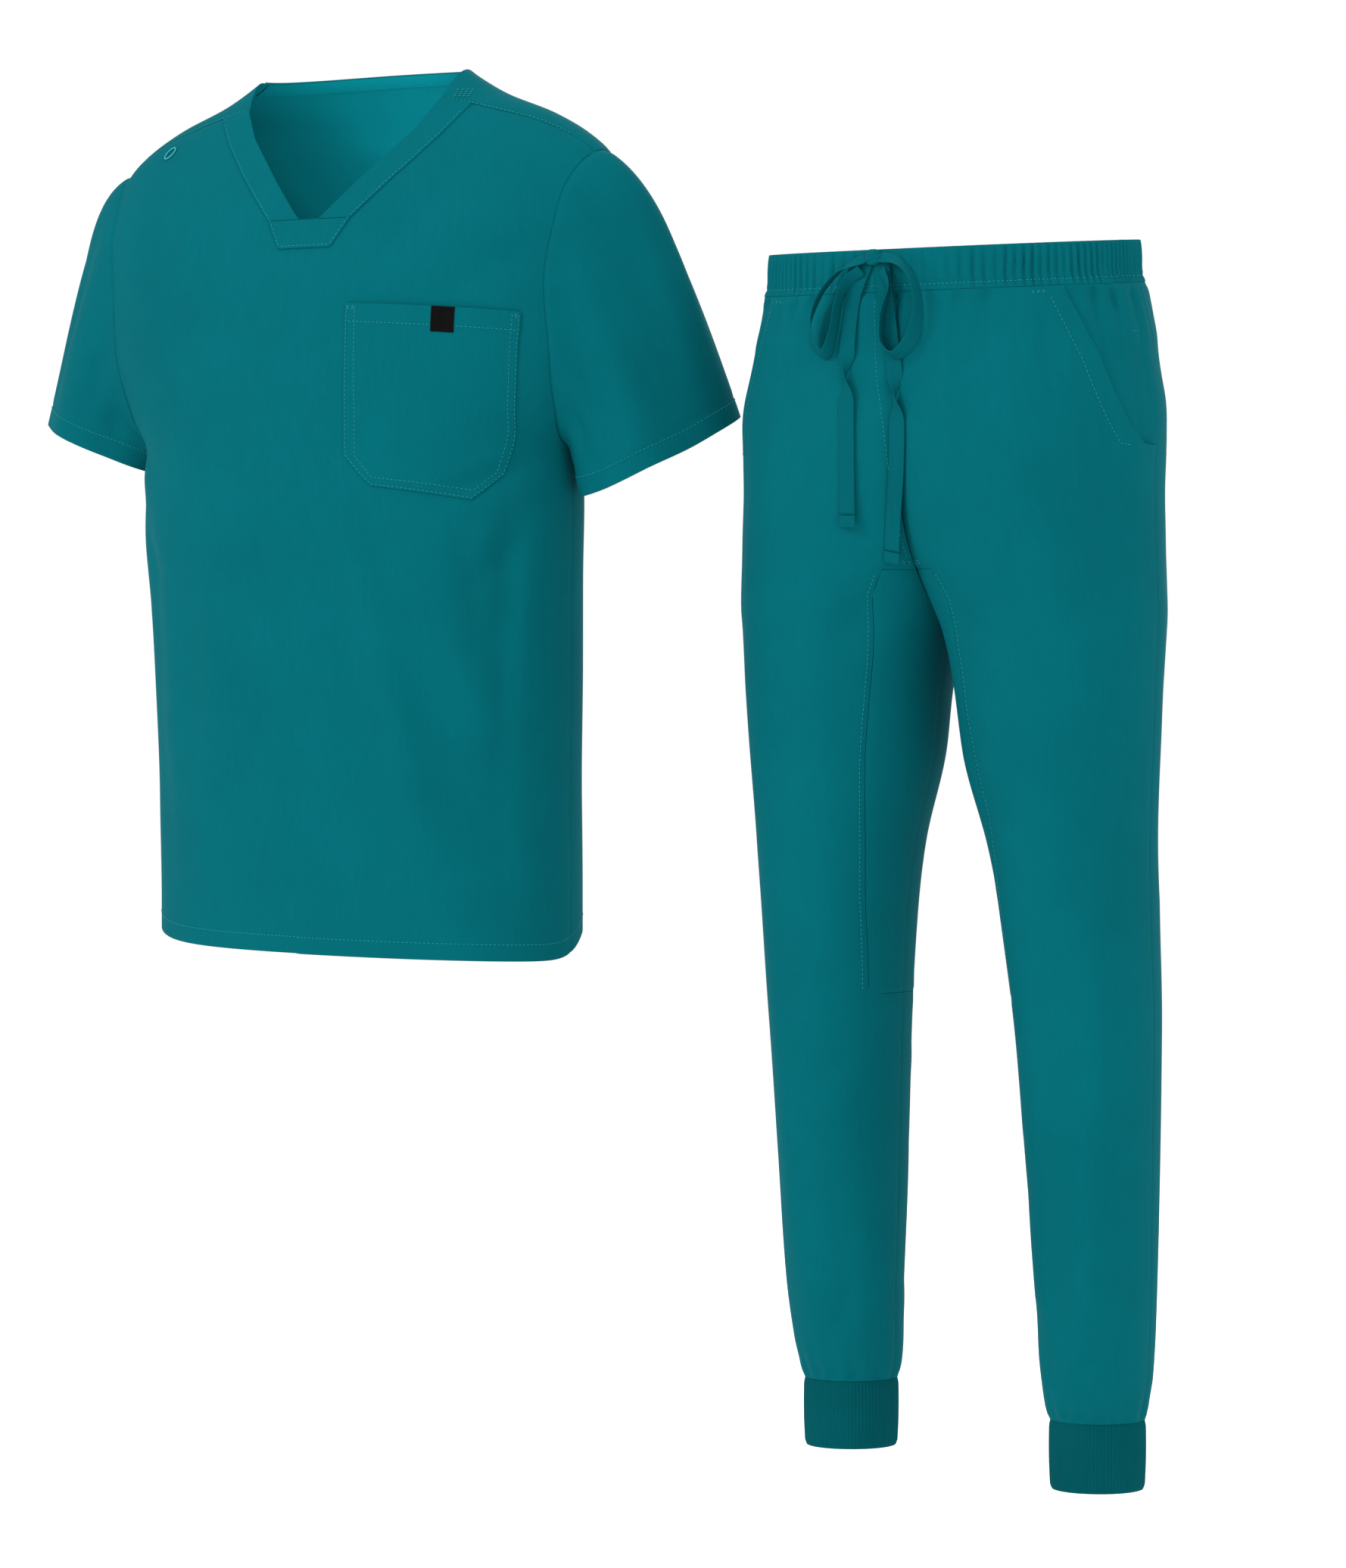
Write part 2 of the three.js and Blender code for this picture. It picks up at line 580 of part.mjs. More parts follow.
// Panels of the top, the neck bands and the binding of the back neck
function topPieces() {
  const shell = topShell();
  const neckOutline = [...mirrored(NECK_EDGE, 1), ...mirrored(NECK_EDGE, -1).reverse()];
  const opening = prism(neckOutline, "front", -CUT_REACH, 0);
  const half = SEAM_GAP / 2;
  const { halfTop, halfBottom, z: footZ } = BAND_FOOT;
  const headZ = NECK_EDGE[0].z;
  const foot = (inset) => [
    [-halfTop + inset, headZ - inset], [halfTop - inset, headZ - inset],
    [halfBottom - inset, footZ + inset], [-halfBottom + inset, footZ + inset],
  ];
  const armholes = [1, -1].map((side) => {
    const outline = [];
    for (let i = 0; i < SLEEVE_COLUMNS; i += 1) {
      const { y, z } = armholeAt((2 * Math.PI * i) / SLEEVE_COLUMNS, 0, side);
      outline.push([y, z]);
    }
    return side > 0
      ? prism(outline, "side", ARMHOLE.inside, CUT_REACH)
      : prism(outline, "side", -CUT_REACH, -ARMHOLE.inside);
  });
  const body = shell.subtract(opening).subtract(armholes[0]).subtract(armholes[1]);

  const rightSeam = [...SHOULDER_SEAM].reverse().map(({ x, y }) => [-x, y]);
  const seam = [...rightSeam, ...SHOULDER_SEAM.slice(1).map(({ x, y }) => [x, y])];
  // Everything before or behind the shoulder and side seams: far is -CUT_REACH or CUT_REACH
  const zone = (far, shift) => {
    const line = seam.map(([x, y]) => [x, y + shift]);
    const upper = prism([[-CUT_REACH, far], ...line, [CUT_REACH, far]], "above", SPLIT_LEVEL, CUT_TOP);
    return upper.add(prism(sideSeamOutline(far, shift), "side", -CUT_REACH, CUT_REACH));
  };
  const fronts = body.intersect(zone(-CUT_REACH, -half));
  const back = body.intersect(zone(CUT_REACH, half));
  const through = (outline) => prism(outline, "front", -CUT_REACH, CUT_TOP);
  const band = (side, inset) => through(bandOutline(side, inset));
  const front = fronts.subtract(band(1, 0)).subtract(band(-1, 0)).subtract(through(foot(0)));
  const bands = [1, -1].map((side) => fronts.intersect(band(side, SEAM_GAP)));
  const insert = fronts.intersect(through(foot(SEAM_GAP)));
  return [
    pieceMesh("top_front", front, TEAL),
    pieceMesh("top_back", back, TEAL),
    pieceMesh("neck_band_left", bands[0], TEAL),
    pieceMesh("neck_band_right", bands[1], TEAL),
    pieceMesh("neck_band_foot", insert, TEAL),
    pieceMesh("back_neck_binding", neckBinding(), TEAL_INSIDE),
  ];
}

// Everything in front of (or behind) the side seams, seen from the side, below the shoulders
function sideSeamOutline(far, shift) {
  const levels = [SPLIT_LEVEL + 2, -300, -372, -430, -520, -620, -700, -800];
  const edge = levels.map((z) => [columnAt(TOP_SECTIONS, "middle", z) + shift, z]);
  return [[far, levels[0]], ...edge, [far, levels[levels.length - 1]]];
}

// Point of an armhole's outline seen from the side, drawn in by an inset
function armholeAt(angle, inset, side) {
  const cos = Math.cos(angle);
  const sin = Math.sin(angle);
  const halfFront = side > 0 ? ARMHOLE.halfFrontLeft : ARMHOLE.halfFrontRight;
  const depth = sin > 0 ? halfFront : ARMHOLE.halfBack;
  return { y: -(depth - inset) * sin, z: ARMHOLE.z + (ARMHOLE.halfHeight - inset) * cos };
}

// Narrow strip inside the back neck edge
function neckBinding() {
  const columns = 14;
  const rows = [0, 0.5, 1];
  const face = (depth) => rows.map((row) => {
    const line = [];
    for (let i = 0; i <= columns; i += 1) {
      const angle = Math.PI + 2 * Math.PI * BINDING.reach * (1 - (2 * i) / columns);
      const z = neckRise(angle) - BINDING.drop - BINDING.height * row;
      line.push(liftedTop(angle, z, -depth));
    }
    return line;
  });
  return patchSolid(face(WALL + LAY_GAP), face(WALL + LAY_GAP + BINDING.cloth));
}

// Sleeve: from each point of the armhole a smooth line runs to the hem ring
function sleevePiece(sleeve) {
  const root = (angle) => {
    const { y, z } = armholeAt(angle, SEAM_GAP, sleeve.side);
    const depth = y < 0 ? columnAt(TOP_SECTIONS, "front", z) : columnAt(TOP_SECTIONS, "back", z);
    const middle = columnAt(TOP_SECTIONS, "middle", z);
    const reach = Math.sqrt(Math.max(0, 1 - ((y - middle) / depth) ** 2));
    return new THREE.Vector3(columnAt(TOP_SECTIONS, "half", z) * reach + SLEEVE_PROUD, y, z);
  };
  const hem = (angle) => sleeve.hem.clone()
    .addScaledVector(sleeve.outer, Math.cos(angle))
    .addScaledVector(sleeve.front, Math.sin(angle));
  const point = (angle, along) => {
    const start = root(angle);
    const end = hem(angle);
    const length = end.distanceTo(start);
    const pull = sleeve.rootPull.clone();
    pull.y *= Math.sin(angle);
    pull.z -= SLEEVE_ROOT_DROOP * Math.cos(angle);
    const t = along;
    const line = new THREE.Vector3()
      .addScaledVector(start, 2 * t ** 3 - 3 * t ** 2 + 1)
      .addScaledVector(pull.normalize(), sleeve.rootLength * length * (t ** 3 - 2 * t ** 2 + t))
      .addScaledVector(end, 3 * t ** 2 - 2 * t ** 3)
      .addScaledVector(sleeve.hemPull.clone().normalize(), length * (t ** 3 - t ** 2));
    const fold = foldHeight(SLEEVE_FOLDS, angle / (2 * Math.PI), 0) * Math.sin(Math.PI * t ** 1.3 * 0.62);
    const cap = sleeve.cap * Math.max(0, Math.cos(angle)) * Math.sin(Math.PI * Math.min(1, t * 2.4));
    const away = new THREE.Vector3(0.85 * Math.cos(angle), -Math.sin(angle), 0.5 * Math.cos(angle));
    return line.addScaledVector(away.normalize(), fold + cap);
  };
  const outer = [];
  const inner = [];
  for (const along of SLEEVE_ROWS) {
    const ringOut = [];
    const ringIn = [];
    for (let i = 0; i < SLEEVE_COLUMNS; i += 1) {
      const angle = (2 * Math.PI * i) / SLEEVE_COLUMNS;
      const p = point(angle, along);
      const near = THREE.MathUtils.clamp(along, 0.01, 0.99);
      const normal = faceNormal(point, angle, near, 0.03, 0.01);
      const away = new THREE.Vector3(0.6 * Math.cos(angle), -Math.sin(angle), 0.4 * Math.cos(angle));
      if (normal.dot(away) < 0) normal.negate();
      ringOut.push(p);
      ringIn.push(p.clone().addScaledVector(normal, -WALL));
    }
    outer.push(ringOut);
    inner.push(ringIn);
  }
  if (sleeve.side < 0) for (const p of [...outer.flat(), ...inner.flat()]) p.x *= -1;
  return pieceMesh(sleeve.name, ringSolid(outer, inner), TEAL);
}

// Chest pocket with its turned hem and clipped lower corners, and the tab sewn to the hem
function pocketPieces() {
  const face = (lift, hemLift) => POCKET_ROWS.map(({ z, inner, outer, drop, hem }) => {
    const line = [];
    for (let i = 0; i <= POCKET_COLUMNS; i += 1) {
      const share = i / POCKET_COLUMNS;
      const angle = THREE.MathUtils.lerp(topAngle(inner, z), topAngle(outer, z - drop), share);
      line.push(liftedTop(angle, z - drop * share, lift + hemLift * hem));
    }
    return line;
  });
  const cloth = patchSolid(face(LAY_GAP + POCKET_CLOTH, POCKET_HEM_CLOTH - POCKET_CLOTH), face(-WALL / 2, 0));
  const pocket = cloth.subtract(topShell(SEAM_GAP));

  const seat = LAY_GAP + POCKET_HEM_CLOTH + SEAM_GAP;
  const tabFace = (lift) => [0, 0.5, 1].map((down) => [0, 0.5, 1].map((share) => {
    const z = TAB.z - TAB.height * down;
    return liftedTop(topAngle(TAB.x + TAB.width * share, z), z, lift);
  }));
  const tab = patchSolid(tabFace(seat + TAB.cloth), tabFace(seat));
  return [pieceMesh("chest_pocket", pocket, TEAL), pieceMesh("pocket_tab", tab, TAB_BLACK)];
}

// Small ring of cord sewn to the wearer's right shoulder, flat on the cloth
function shoulderLoop() {
  const { angle, z, halfWide, halfHigh, cord, lift } = LOOP;
  const centre = liftedTop(angle, z, lift);
  const normal = centre.clone().sub(topPoint(angle, z)).normalize();
  const down = topPoint(angle, z - 4).sub(topPoint(angle, z)).normalize();
  const across = normal.clone().cross(down).normalize();
  const { steps, sides } = LOOP;
  const rings = [];
  for (let i = 0; i < steps; i += 1) {
    const turn = (2 * Math.PI * i) / steps;
    const away = across.clone().multiplyScalar(Math.cos(turn) / halfWide)
      .addScaledVector(down, Math.sin(turn) / halfHigh).normalize();
    const middle = centre.clone()
      .addScaledVector(across, halfWide * Math.cos(turn))
      .addScaledVector(down, halfHigh * Math.sin(turn));
    for (let k = 0; k < sides; k += 1) {
      const around = (2 * Math.PI * k) / sides;
      rings.push(middle.clone()
        .addScaledVector(away, cord * Math.cos(around))
        .addScaledVector(normal, cord * Math.sin(around)));
    }
  }
  const faces = [];
  for (let i = 0; i < steps; i += 1) {
    for (let k = 0; k < sides; k += 1) {
      const a = i * sides + k;
      const b = i * sides + ((k + 1) % sides);
      const c = ((i + 1) % steps) * sides + ((k + 1) % sides);
      const d = ((i + 1) % steps) * sides + k;
      faces.push(a, b, c, a, c, d);
    }
  }
  return pieceMesh("shoulder_loop", solidFrom(rings, faces), TEAL);
}

// Wall of one whole leg up to the waist seam, cut at the pair's middle, on one side
function legShell(side) {
  const outer = [];
  const inner = [];
  for (const z of LEG_LEVELS) {
    const ringOut = [];
    const ringIn = [];
    for (let i = 0; i < LEG_COLUMNS; i += 1) {
      const angle = (2 * Math.PI * i) / LEG_COLUMNS;
      const p = legPoint(angle, z);
      const normal = faceNormal(legPoint, angle, z, ANGLE_STEP, LEVEL_STEP);
      if (normal.dot(new THREE.Vector3(Math.sin(angle), -Math.cos(angle), 0)) < 0) normal.negate();
      const q = p.clone().addScaledVector(normal, -WALL);
      for (const point of [p, q]) {
        point.x *= side;
        point.z += legDrop(side, point.z);
      }
      ringOut.push(p);
      ringIn.push(q);
    }
    outer.push(ringOut);
    inner.push(ringIn);
  }
  const near = side * SEAM_GAP * 0.5;
  const far = side * CUT_REACH;
  const half = [[near, TROUSER_FOOT], [far, TROUSER_FOOT], [far, 0], [near, 0]];
  return ringSolid(outer, inner).intersect(prism(half, "front", -CUT_REACH, CUT_REACH));
}

// Outline of the panel at the inside of a thigh, on one side, made smaller by an inset
function innerPanelOutline(side, inset) {
  const edge = INNER_PANEL.map(({ x, z }) => [side * (x - inset), z]);
  edge[0][1] -= inset;
  edge[edge.length - 1][1] += inset;
  const foot = edge[edge.length - 1][1];
  return [[-side * PANEL_PAST_MIDDLE, edge[0][1]], ...edge, [-side * PANEL_PAST_MIDDLE, foot]];
}

// Outline of the hip pocket's mouth, on one side: all that lies outside the slanted line
function mouthOutline(side, shift) {
  const edge = POCKET_MOUTH.map(({ x, z }) => [side * (x + shift), z]);
  const foot = edge[edge.length - 1];
  return [...edge, [side * CUT_REACH, foot[1]], [side * CUT_REACH, edge[0][1]]];
}

// Everything in front of (or behind) the seams along a leg's sides, seen from the side
function legSeamOutline(far, shift) {
  const levels = [-100, -400, -520, -652, -707, -800, -910, -1021, -1076, -1200];
  const edge = levels.map((z) => [columnAt(LEG_SECTIONS, "middle", z) + shift, z]);
  return [[far, levels[0]], ...edge, [far, levels[levels.length - 1]]];
}

// Panels of one trouser leg
function legPieces(side, word) {
  const shell = legShell(side);
  const half = SEAM_GAP / 2;
  const through = (outline, seenFrom) => prism(outline, seenFrom, -CUT_REACH, CUT_REACH);
  const inner = through(innerPanelOutline(side, 0), "front");
  const innerSmall = through(innerPanelOutline(side, SEAM_GAP), "front");
  const frontZone = through(legSeamOutline(-CUT_REACH, -half), "side");
  const backZone = through(legSeamOutline(CUT_REACH, half), "side");
  const mouth = through(mouthOutline(side, 0), "front");
  const mouthSmall = through(mouthOutline(side, SEAM_GAP), "front");
  const outerPart = shell.subtract(inner);
  const front = outerPart.intersect(frontZone);
  return [
    pieceMesh(`trouser_front_${word}`, front.subtract(mouth), TEAL, PAIR_X),
    pieceMesh(`trouser_back_${word}`, outerPart.intersect(backZone), TEAL, PAIR_X),
    pieceMesh(`inner_thigh_panel_${word}`, shell.intersect(innerSmall), TEAL, PAIR_X),
    pieceMesh(`hip_pocket_facing_${word}`, front.intersect(mouthSmall), TEAL, PAIR_X),
  ];
}

// Outline of the waist at a turn from the centre front: both legs' outer arcs, joined
function waistPoint(turn, z, lift) {
  const onLeft = turn < 0.5;
  const share = onLeft ? turn * 2 : 2 - turn * 2;
  const out = columnAt(LEG_SECTIONS, "out", z);
  const half = columnAt(LEG_SECTIONS, "half", z);
  const first = -Math.asin(out / half);
  const angle = THREE.MathUtils.lerp(first, Math.PI - first, share);
  const p = legPoint(angle, z, false);
  const depth = columnAt(LEG_SECTIONS, "front", z);
  const normal = new THREE.Vector3(Math.sin(angle) / half, -Math.cos(angle) / depth, 0).normalize();
  p.addScaledVector(normal, lift);
  return new THREE.Vector3(onLeft ? p.x : -p.x, p.y, z + WAIST_TILT * p.y);
}

// Gathered waistband: every gather is a wave of the outer face over a plain inside
function waistband() {
  const columns = WAIST_GATHERS * 3;
  const rows = [
    { z: WAIST_TOP, height: 0.5, lift: 0 },
    { z: (WAIST_TOP + WAIST_SEAM) / 2, height: 1, lift: 0.6 },
    { z: WAIST_SEAM, height: 0.5, lift: 0 },
  ];
  const outer = rows.map(({ z, height, lift }) => {
    const ring = [];
    for (let i = 0; i < columns; i += 1) {
      const toFront = Math.min(i, columns - i) / columns;
      const flat = 0.35 + 0.65 * THREE.MathUtils.smoothstep(toFront, 0.02, 0.09);
      const wave = i % 3 === 1 ? 1 : -0.35;
      ring.push(waistPoint(i / columns, z, lift + GATHER_HEIGHT * height * flat * wave));
    }
    return ring;
  });
  const inner = [rows[0], rows[rows.length - 1]].map(({ z }) => {
    const ring = [];
    for (let i = 0; i < columns; i += 6) ring.push(waistPoint(i / columns, z, -WAIST_WALL));
    return ring;
  });
  return pieceMesh("waistband", ringSolid(outer, inner, 6), TEAL, PAIR_X);
}

// Ribbed ankle cuff: a rib is a ridge of the outer face over a plain inside
function cuff(side, word) {
  const columns = CUFF_RIBS * 2;
  const innerStep = 4;
  const at = (angle, z, lift) => {
    const sin = Math.sin(angle);
    const cos = Math.cos(angle);
    const half = columnAt(LEG_SECTIONS, "half", z) + lift;
    const depth = columnAt(LEG_SECTIONS, "front", z) + lift;
    const y = columnAt(LEG_SECTIONS, "middle", z) - depth * cos;
    return new THREE.Vector3(side * (columnAt(LEG_SECTIONS, "out", z) + half * sin), y, z + legDrop(side, z));
  };
  const ring = (z, step, lift) => {
    const points = [];
    for (let i = 0; i < columns; i += step) points.push(at((2 * Math.PI * i) / columns, z, lift(i)));
    return points;
  };
  const rib = (i) => (i % 2 ? 0 : RIB_HEIGHT);
  const outer = [CUFF_TOP, CUFF_BOTTOM].map((z) => ring(z, 1, rib));
  const inner = [CUFF_TOP, CUFF_BOTTOM].map((z) => ring(z, innerStep, () => -CUFF_WALL));
  return pieceMesh(`ankle_cuff_${word}`, ringSolid(outer, inner, innerStep), TEAL_RIB, PAIR_X);
}

// Flat tape along a route on the front of the trousers, with a rounded flat section
function tapeSolid(route, steps, width, cloth) {
  const places = route.map(({ x, z, out }) => {
    const spread = [-0.6, -0.3, 0, 0.3, 0.6].map((share) => legFront(x + share * width, z).y);
    return new THREE.Vector3(x, Math.min(...spread) - out, z);
  });
  const curve = new THREE.CatmullRomCurve3(places, false, "centripetal");
  const rings = [];
  for (let i = 0; i <= steps; i += 1) {
    const at = curve.getPointAt(i / steps);
    const along = curve.getTangentAt(i / steps);
    const across = along.clone().cross(new THREE.Vector3(0, -1, 0)).normalize();
    const up = across.clone().cross(along).normalize();
    const ring = [];
    for (let k = 0; k < TAPE.sides; k += 1) {
      const angle = (2 * Math.PI * (k + 0.5)) / TAPE.sides;
      ring.push(at.clone()
        .addScaledVector(across, power(Math.cos(angle), 0.6) * width * 0.5)
        .addScaledVector(up, power(Math.sin(angle), 0.8) * cloth * 0.5));
    }
    rings.push(ring);
  }
  const points = [...rings.flat(), places[0], places[places.length - 1]];
  const n = TAPE.sides;
  const faces = [];
  for (let i = 0; i < steps; i += 1) {
    for (let k = 0; k < n; k += 1) {
      const a = i * n + k;
      const b = i * n + ((k + 1) % n);
      faces.push(a, b, b + n, a, b + n, a + n);
    }
  }
  const first = rings.length * n;
  for (let k = 0; k < n; k += 1) {
    faces.push(first, (k + 1) % n, k);
    faces.push(first + 1, steps * n + k, steps * n + ((k + 1) % n));
  }
  return solidFrom(points, faces);
}

// Knot of the bow, made larger all round by a lift
function knotSolid(lift) {
  const knot = new THREE.SphereGeometry(1, KNOT.columns, KNOT.rows);
  knot.scale(KNOT.halfWide + lift, KNOT.halfDeep + lift, KNOT.halfHigh + lift);
  knot.translate(KNOT.x, legFront(KNOT.x, KNOT.z).y - KNOT.halfDeep - KNOT.lift, KNOT.z);
  return solidFromGeometry(knot);
}

// Knot of the bow, the two loops and the two tails with their folded ends
function drawstring() {
  const meshes = [pieceMesh("drawstring_knot", knotSolid(0), TEAL, PAIR_X)];
  const round = knotSolid(SEAM_GAP);
  for (const { name, steps, route } of TAPES) {
    const tape = tapeSolid(route, steps, TAPE.width, TAPE.cloth).subtract(round);
    meshes.push(pieceMesh(name, tape, TEAL, PAIR_X));
    if (!name.includes("tail")) continue;
    const end = route[route.length - 1];
    const before = route[route.length - 2];
    const length = Math.hypot(end.x - before.x, end.z - before.z);
    const place = (far) => ({
      x: end.x + (far * (end.x - before.x)) / length,
      z: end.z + (far * (end.z - before.z)) / length,
      out: end.out + TIP.lift,
    });
    const tip = tapeSolid([place(TIP.gap), place(TIP.gap + TIP.length)], 2, TIP.width, TIP.cloth);
    meshes.push(pieceMesh(name.replace("tail", "tip"), tip, TEAL, PAIR_X));
  }
  return meshes;
}

const scrubs = new THREE.Group();
const top = new THREE.Group();
top.add(...topPieces(), ...SLEEVES.map(sleevePiece), ...pocketPieces(), shoulderLoop());
const trousers = new THREE.Group();
trousers.add(...legPieces(1, "left"), ...legPieces(-1, "right"), waistband());
trousers.add(cuff(1, "left"), cuff(-1, "right"), ...drawstring());
scrubs.add(top, trousers);

export default scrubs;
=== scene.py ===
import logging
import math
from dataclasses import dataclass, field
from enum import Enum
from typing import Any, Callable, Sequence

import bpy
import numpy as np
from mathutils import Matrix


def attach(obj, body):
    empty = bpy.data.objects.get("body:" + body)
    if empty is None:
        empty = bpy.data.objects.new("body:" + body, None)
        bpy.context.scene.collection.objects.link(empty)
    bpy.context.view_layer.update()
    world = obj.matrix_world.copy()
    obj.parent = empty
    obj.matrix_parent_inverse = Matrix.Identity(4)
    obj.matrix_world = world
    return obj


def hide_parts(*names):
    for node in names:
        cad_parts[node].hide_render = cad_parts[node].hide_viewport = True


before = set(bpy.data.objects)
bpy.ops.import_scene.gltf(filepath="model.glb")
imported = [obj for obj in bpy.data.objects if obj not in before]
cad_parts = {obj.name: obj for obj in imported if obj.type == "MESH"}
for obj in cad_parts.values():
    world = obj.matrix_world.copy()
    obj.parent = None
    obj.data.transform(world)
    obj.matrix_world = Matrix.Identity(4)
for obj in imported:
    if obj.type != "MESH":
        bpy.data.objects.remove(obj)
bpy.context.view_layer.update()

Array = np.ndarray
Field = Callable[[Array], Array]

LOG = logging.getLogger("scrubs")
MM = 0.001
PAIR_X = 558.7
STEP_TURN = 0.02
STEP_LEVEL = 1.0


# ---------------------------------------------------------------- tables and folds


class Table:
    """Named columns read smoothly by level, with no overshoot between rows."""

    def __init__(self, header: str, rows: Sequence[Sequence[float]]) -> None:
        """Sorts the rows by their first column.

        Args:
            header: Column names, the level first.
            rows: One row a level.
        """
        data = np.array(sorted(rows), dtype=float)
        self.levels = data[:, 0]
        self.columns = {name: data[:, i] for i, name in enumerate(header.split())}

    def at(self, name: str, level: Array | float) -> Array:
        """Value of a column: cubic pieces whose end slopes are harmonic means of the rows' slopes.

        Args:
            name: Column to read.
            level: Levels to read it at.

        Returns:
            The column's value at each level.
        """
        x, y = self.levels, self.columns[name]
        step = np.diff(x)
        slope = np.diff(y) / step
        before, after = slope[:-1], slope[1:]
        total = np.where(np.abs(before + after) < 1e-12, 1.0, before + after)
        middle = np.where(before * after <= 0, 0.0, 2 * before * after / total)
        tangent = np.concatenate([slope[:1], middle, slope[-1:]])
        z = np.clip(np.asarray(level, dtype=float), x[0], x[-1])
        i = np.clip(np.searchsorted(x, z, side="right") - 1, 0, len(x) - 2)
        t = (z - x[i]) / step[i]
        t2, t3 = t * t, t * t * t
        start = (2 * t3 - 3 * t2 + 1) * y[i] + (t3 - 2 * t2 + t) * step[i] * tangent[i]
        return start + (3 * t2 - 2 * t3) * y[i + 1] + (t3 - t2) * step[i] * tangent[i + 1]


@dataclass(frozen=True)
class Fold:
    """Long soft fold of a tube, placed by its turn round the tube and the levels it runs between."""

    turn: float
    width: float
    depth: float
    drift: float = 0.0
    start: float | None = None
    end: float | None = None


@dataclass(frozen=True)
class Crease:
    """One soft trough or ridge with a smaller return beside it, seen from the front or the back."""

    x0: float
    z0: float
    x1: float
    z1: float
    width: float
    depth: float
    bow: float = 0.0


def fold_height(folds: Sequence[Fold], turn: Array, level: Array | float) -> Array:
    """Height of long folds: a bell across the fold, times a half sine along it.

    Args:
        folds: The folds.
        turn: Places round the tube, in turns.
        level: Places along the tube.

    Returns:
        Height in millimetres.
    """
    turn, level = np.broadcast_arrays(np.asarray(turn, float), np.asarray(level, float))
    total = np.zeros(turn.shape)
    for fold in folds:
        if fold.start is None:
            along = np.full(turn.shape, 0.5)
        else:
            along = np.clip((fold.start - level) / (fold.start - fold.end), 0, 1)
        away = np.mod(turn - fold.turn - fold.drift * along + 1.5, 1.0) - 0.5
        total += fold.depth * np.sin(np.pi * along) ** 0.8 * np.exp(-((away / fold.width) ** 2))
    return total


def crease_height(creases: Sequence[Crease], x: Array, z: Array) -> Array:
    """Height of creases: a bell across the line and a shallower opposite bell beside it.

    Args:
        creases: The creases.
        x: Sideways places.
        z: Levels.

    Returns:
        Height in millimetres, fading out at both ends of each line.
    """
    total = np.zeros(np.shape(x))
    for c in creases:
        dx, dz = c.x1 - c.x0, c.z1 - c.z0
        length = math.hypot(dx, dz)
        t = ((x - c.x0) * dx + (z - c.z0) * dz) / length**2
        inside = np.clip(t, 0, 1)
        off = ((x - c.x0) * dz - (z - c.z0) * dx) / length - c.bow * np.sin(np.pi * inside)
        fade = np.sin(np.pi * inside) ** 0.75
        beside = np.exp(-(((off - 1.8 * c.width) / c.width) ** 2))
        total += c.depth * fade * (np.exp(-((off / c.width) ** 2)) - 0.45 * beside)
    return total


def signed_power(value: Array, exponent: float | Array) -> Array:
    """Power that keeps the sign of what it raises."""
    return np.sign(value) * np.abs(value) ** exponent


def unit(vectors: Array) -> Array:
    """Vectors of length one."""
    return vectors / np.maximum(np.linalg.norm(vectors, axis=-1, keepdims=True), 1e-9)


# ---------------------------------------------------------------- patches and meshes


@dataclass
class Patch:
    """Triangles of cloth: where each point rests unwrinkled, where it lies, and its outward direction."""

    rest: Array
    points: Array
    normals: Array
    uv: Array
    faces: Array

    def clip(self, keep: Field) -> "Patch":
        """Cuts the patch along the line where a field is nought.

        Args:
            keep: Positive on the side that stays, read at the resting points.

        Returns:
            The patch that is left, cut through its triangles.
        """
        value = keep(self.rest)
        inside = value > 0
        count = inside[self.faces].sum(1)
        cut = self.faces[(count == 1) | (count == 2)]
        whole = self.faces[count == 3]
        if not len(cut):
            return self._compact(whole, self)
        flags = inside[cut]
        lone_inside = flags.sum(1) == 1
        odd = np.where(lone_inside, flags.argmax(1), (~flags).argmax(1))
        rolled = np.take_along_axis(cut, (odd[:, None] + np.arange(3)) % 3, axis=1)
        a, b, c = rolled.T
        edges = np.sort(np.concatenate([np.stack([a, b], 1), np.stack([a, c], 1)]), 1)
        unique, index = np.unique(edges, axis=0, return_inverse=True)
        index = index.reshape(-1)
        v0, v1 = value[unique[:, 0]], value[unique[:, 1]]
        t = np.clip(v0 / (v0 - v1), 0.02, 0.98)[:, None]

        def joined(data: Array) -> Array:
            """Adds the points on the cut edges to a column of data."""
            return np.concatenate([data, data[unique[:, 0]] * (1 - t) + data[unique[:, 1]] * t])

        more = Patch(joined(self.rest), joined(self.points), joined(self.normals), joined(self.uv), self.faces)
        ab = len(self.rest) + index[: len(a)]
        ac = len(self.rest) + index[len(a):]
        lone = np.stack([a, ab, ac], 1)[lone_inside]
        two = ~lone_inside
        pair = np.concatenate([np.stack([ab, b, c], 1)[two], np.stack([ab, c, ac], 1)[two]])
        return self._compact(np.concatenate([whole, lone, pair]), more)

    @staticmethod
    def _compact(faces: Array, source: "Patch") -> "Patch":
        """Keeps only the points that the faces use."""
        used, index = np.unique(faces, return_inverse=True)
        return Patch(
            source.rest[used], source.points[used], source.normals[used], source.uv[used],
            index.reshape(faces.shape),
        )

    def press(self, line: Field, width: float, depth: float) -> "Patch":
        """Presses the cloth in along a seam: depth times a bell of the distance from its line."""
        fall = depth * np.exp(-((line(self.rest) / width) ** 2))
        self.points = self.points - self.normals * fall[:, None]
        return self

    def area(self) -> float:
        """Area of the triangles in square metres."""
        a, b, c = (self.points[self.faces[:, i]] for i in range(3))
        return float(np.linalg.norm(np.cross(b - a, c - a), axis=1).sum() / 2) * MM * MM


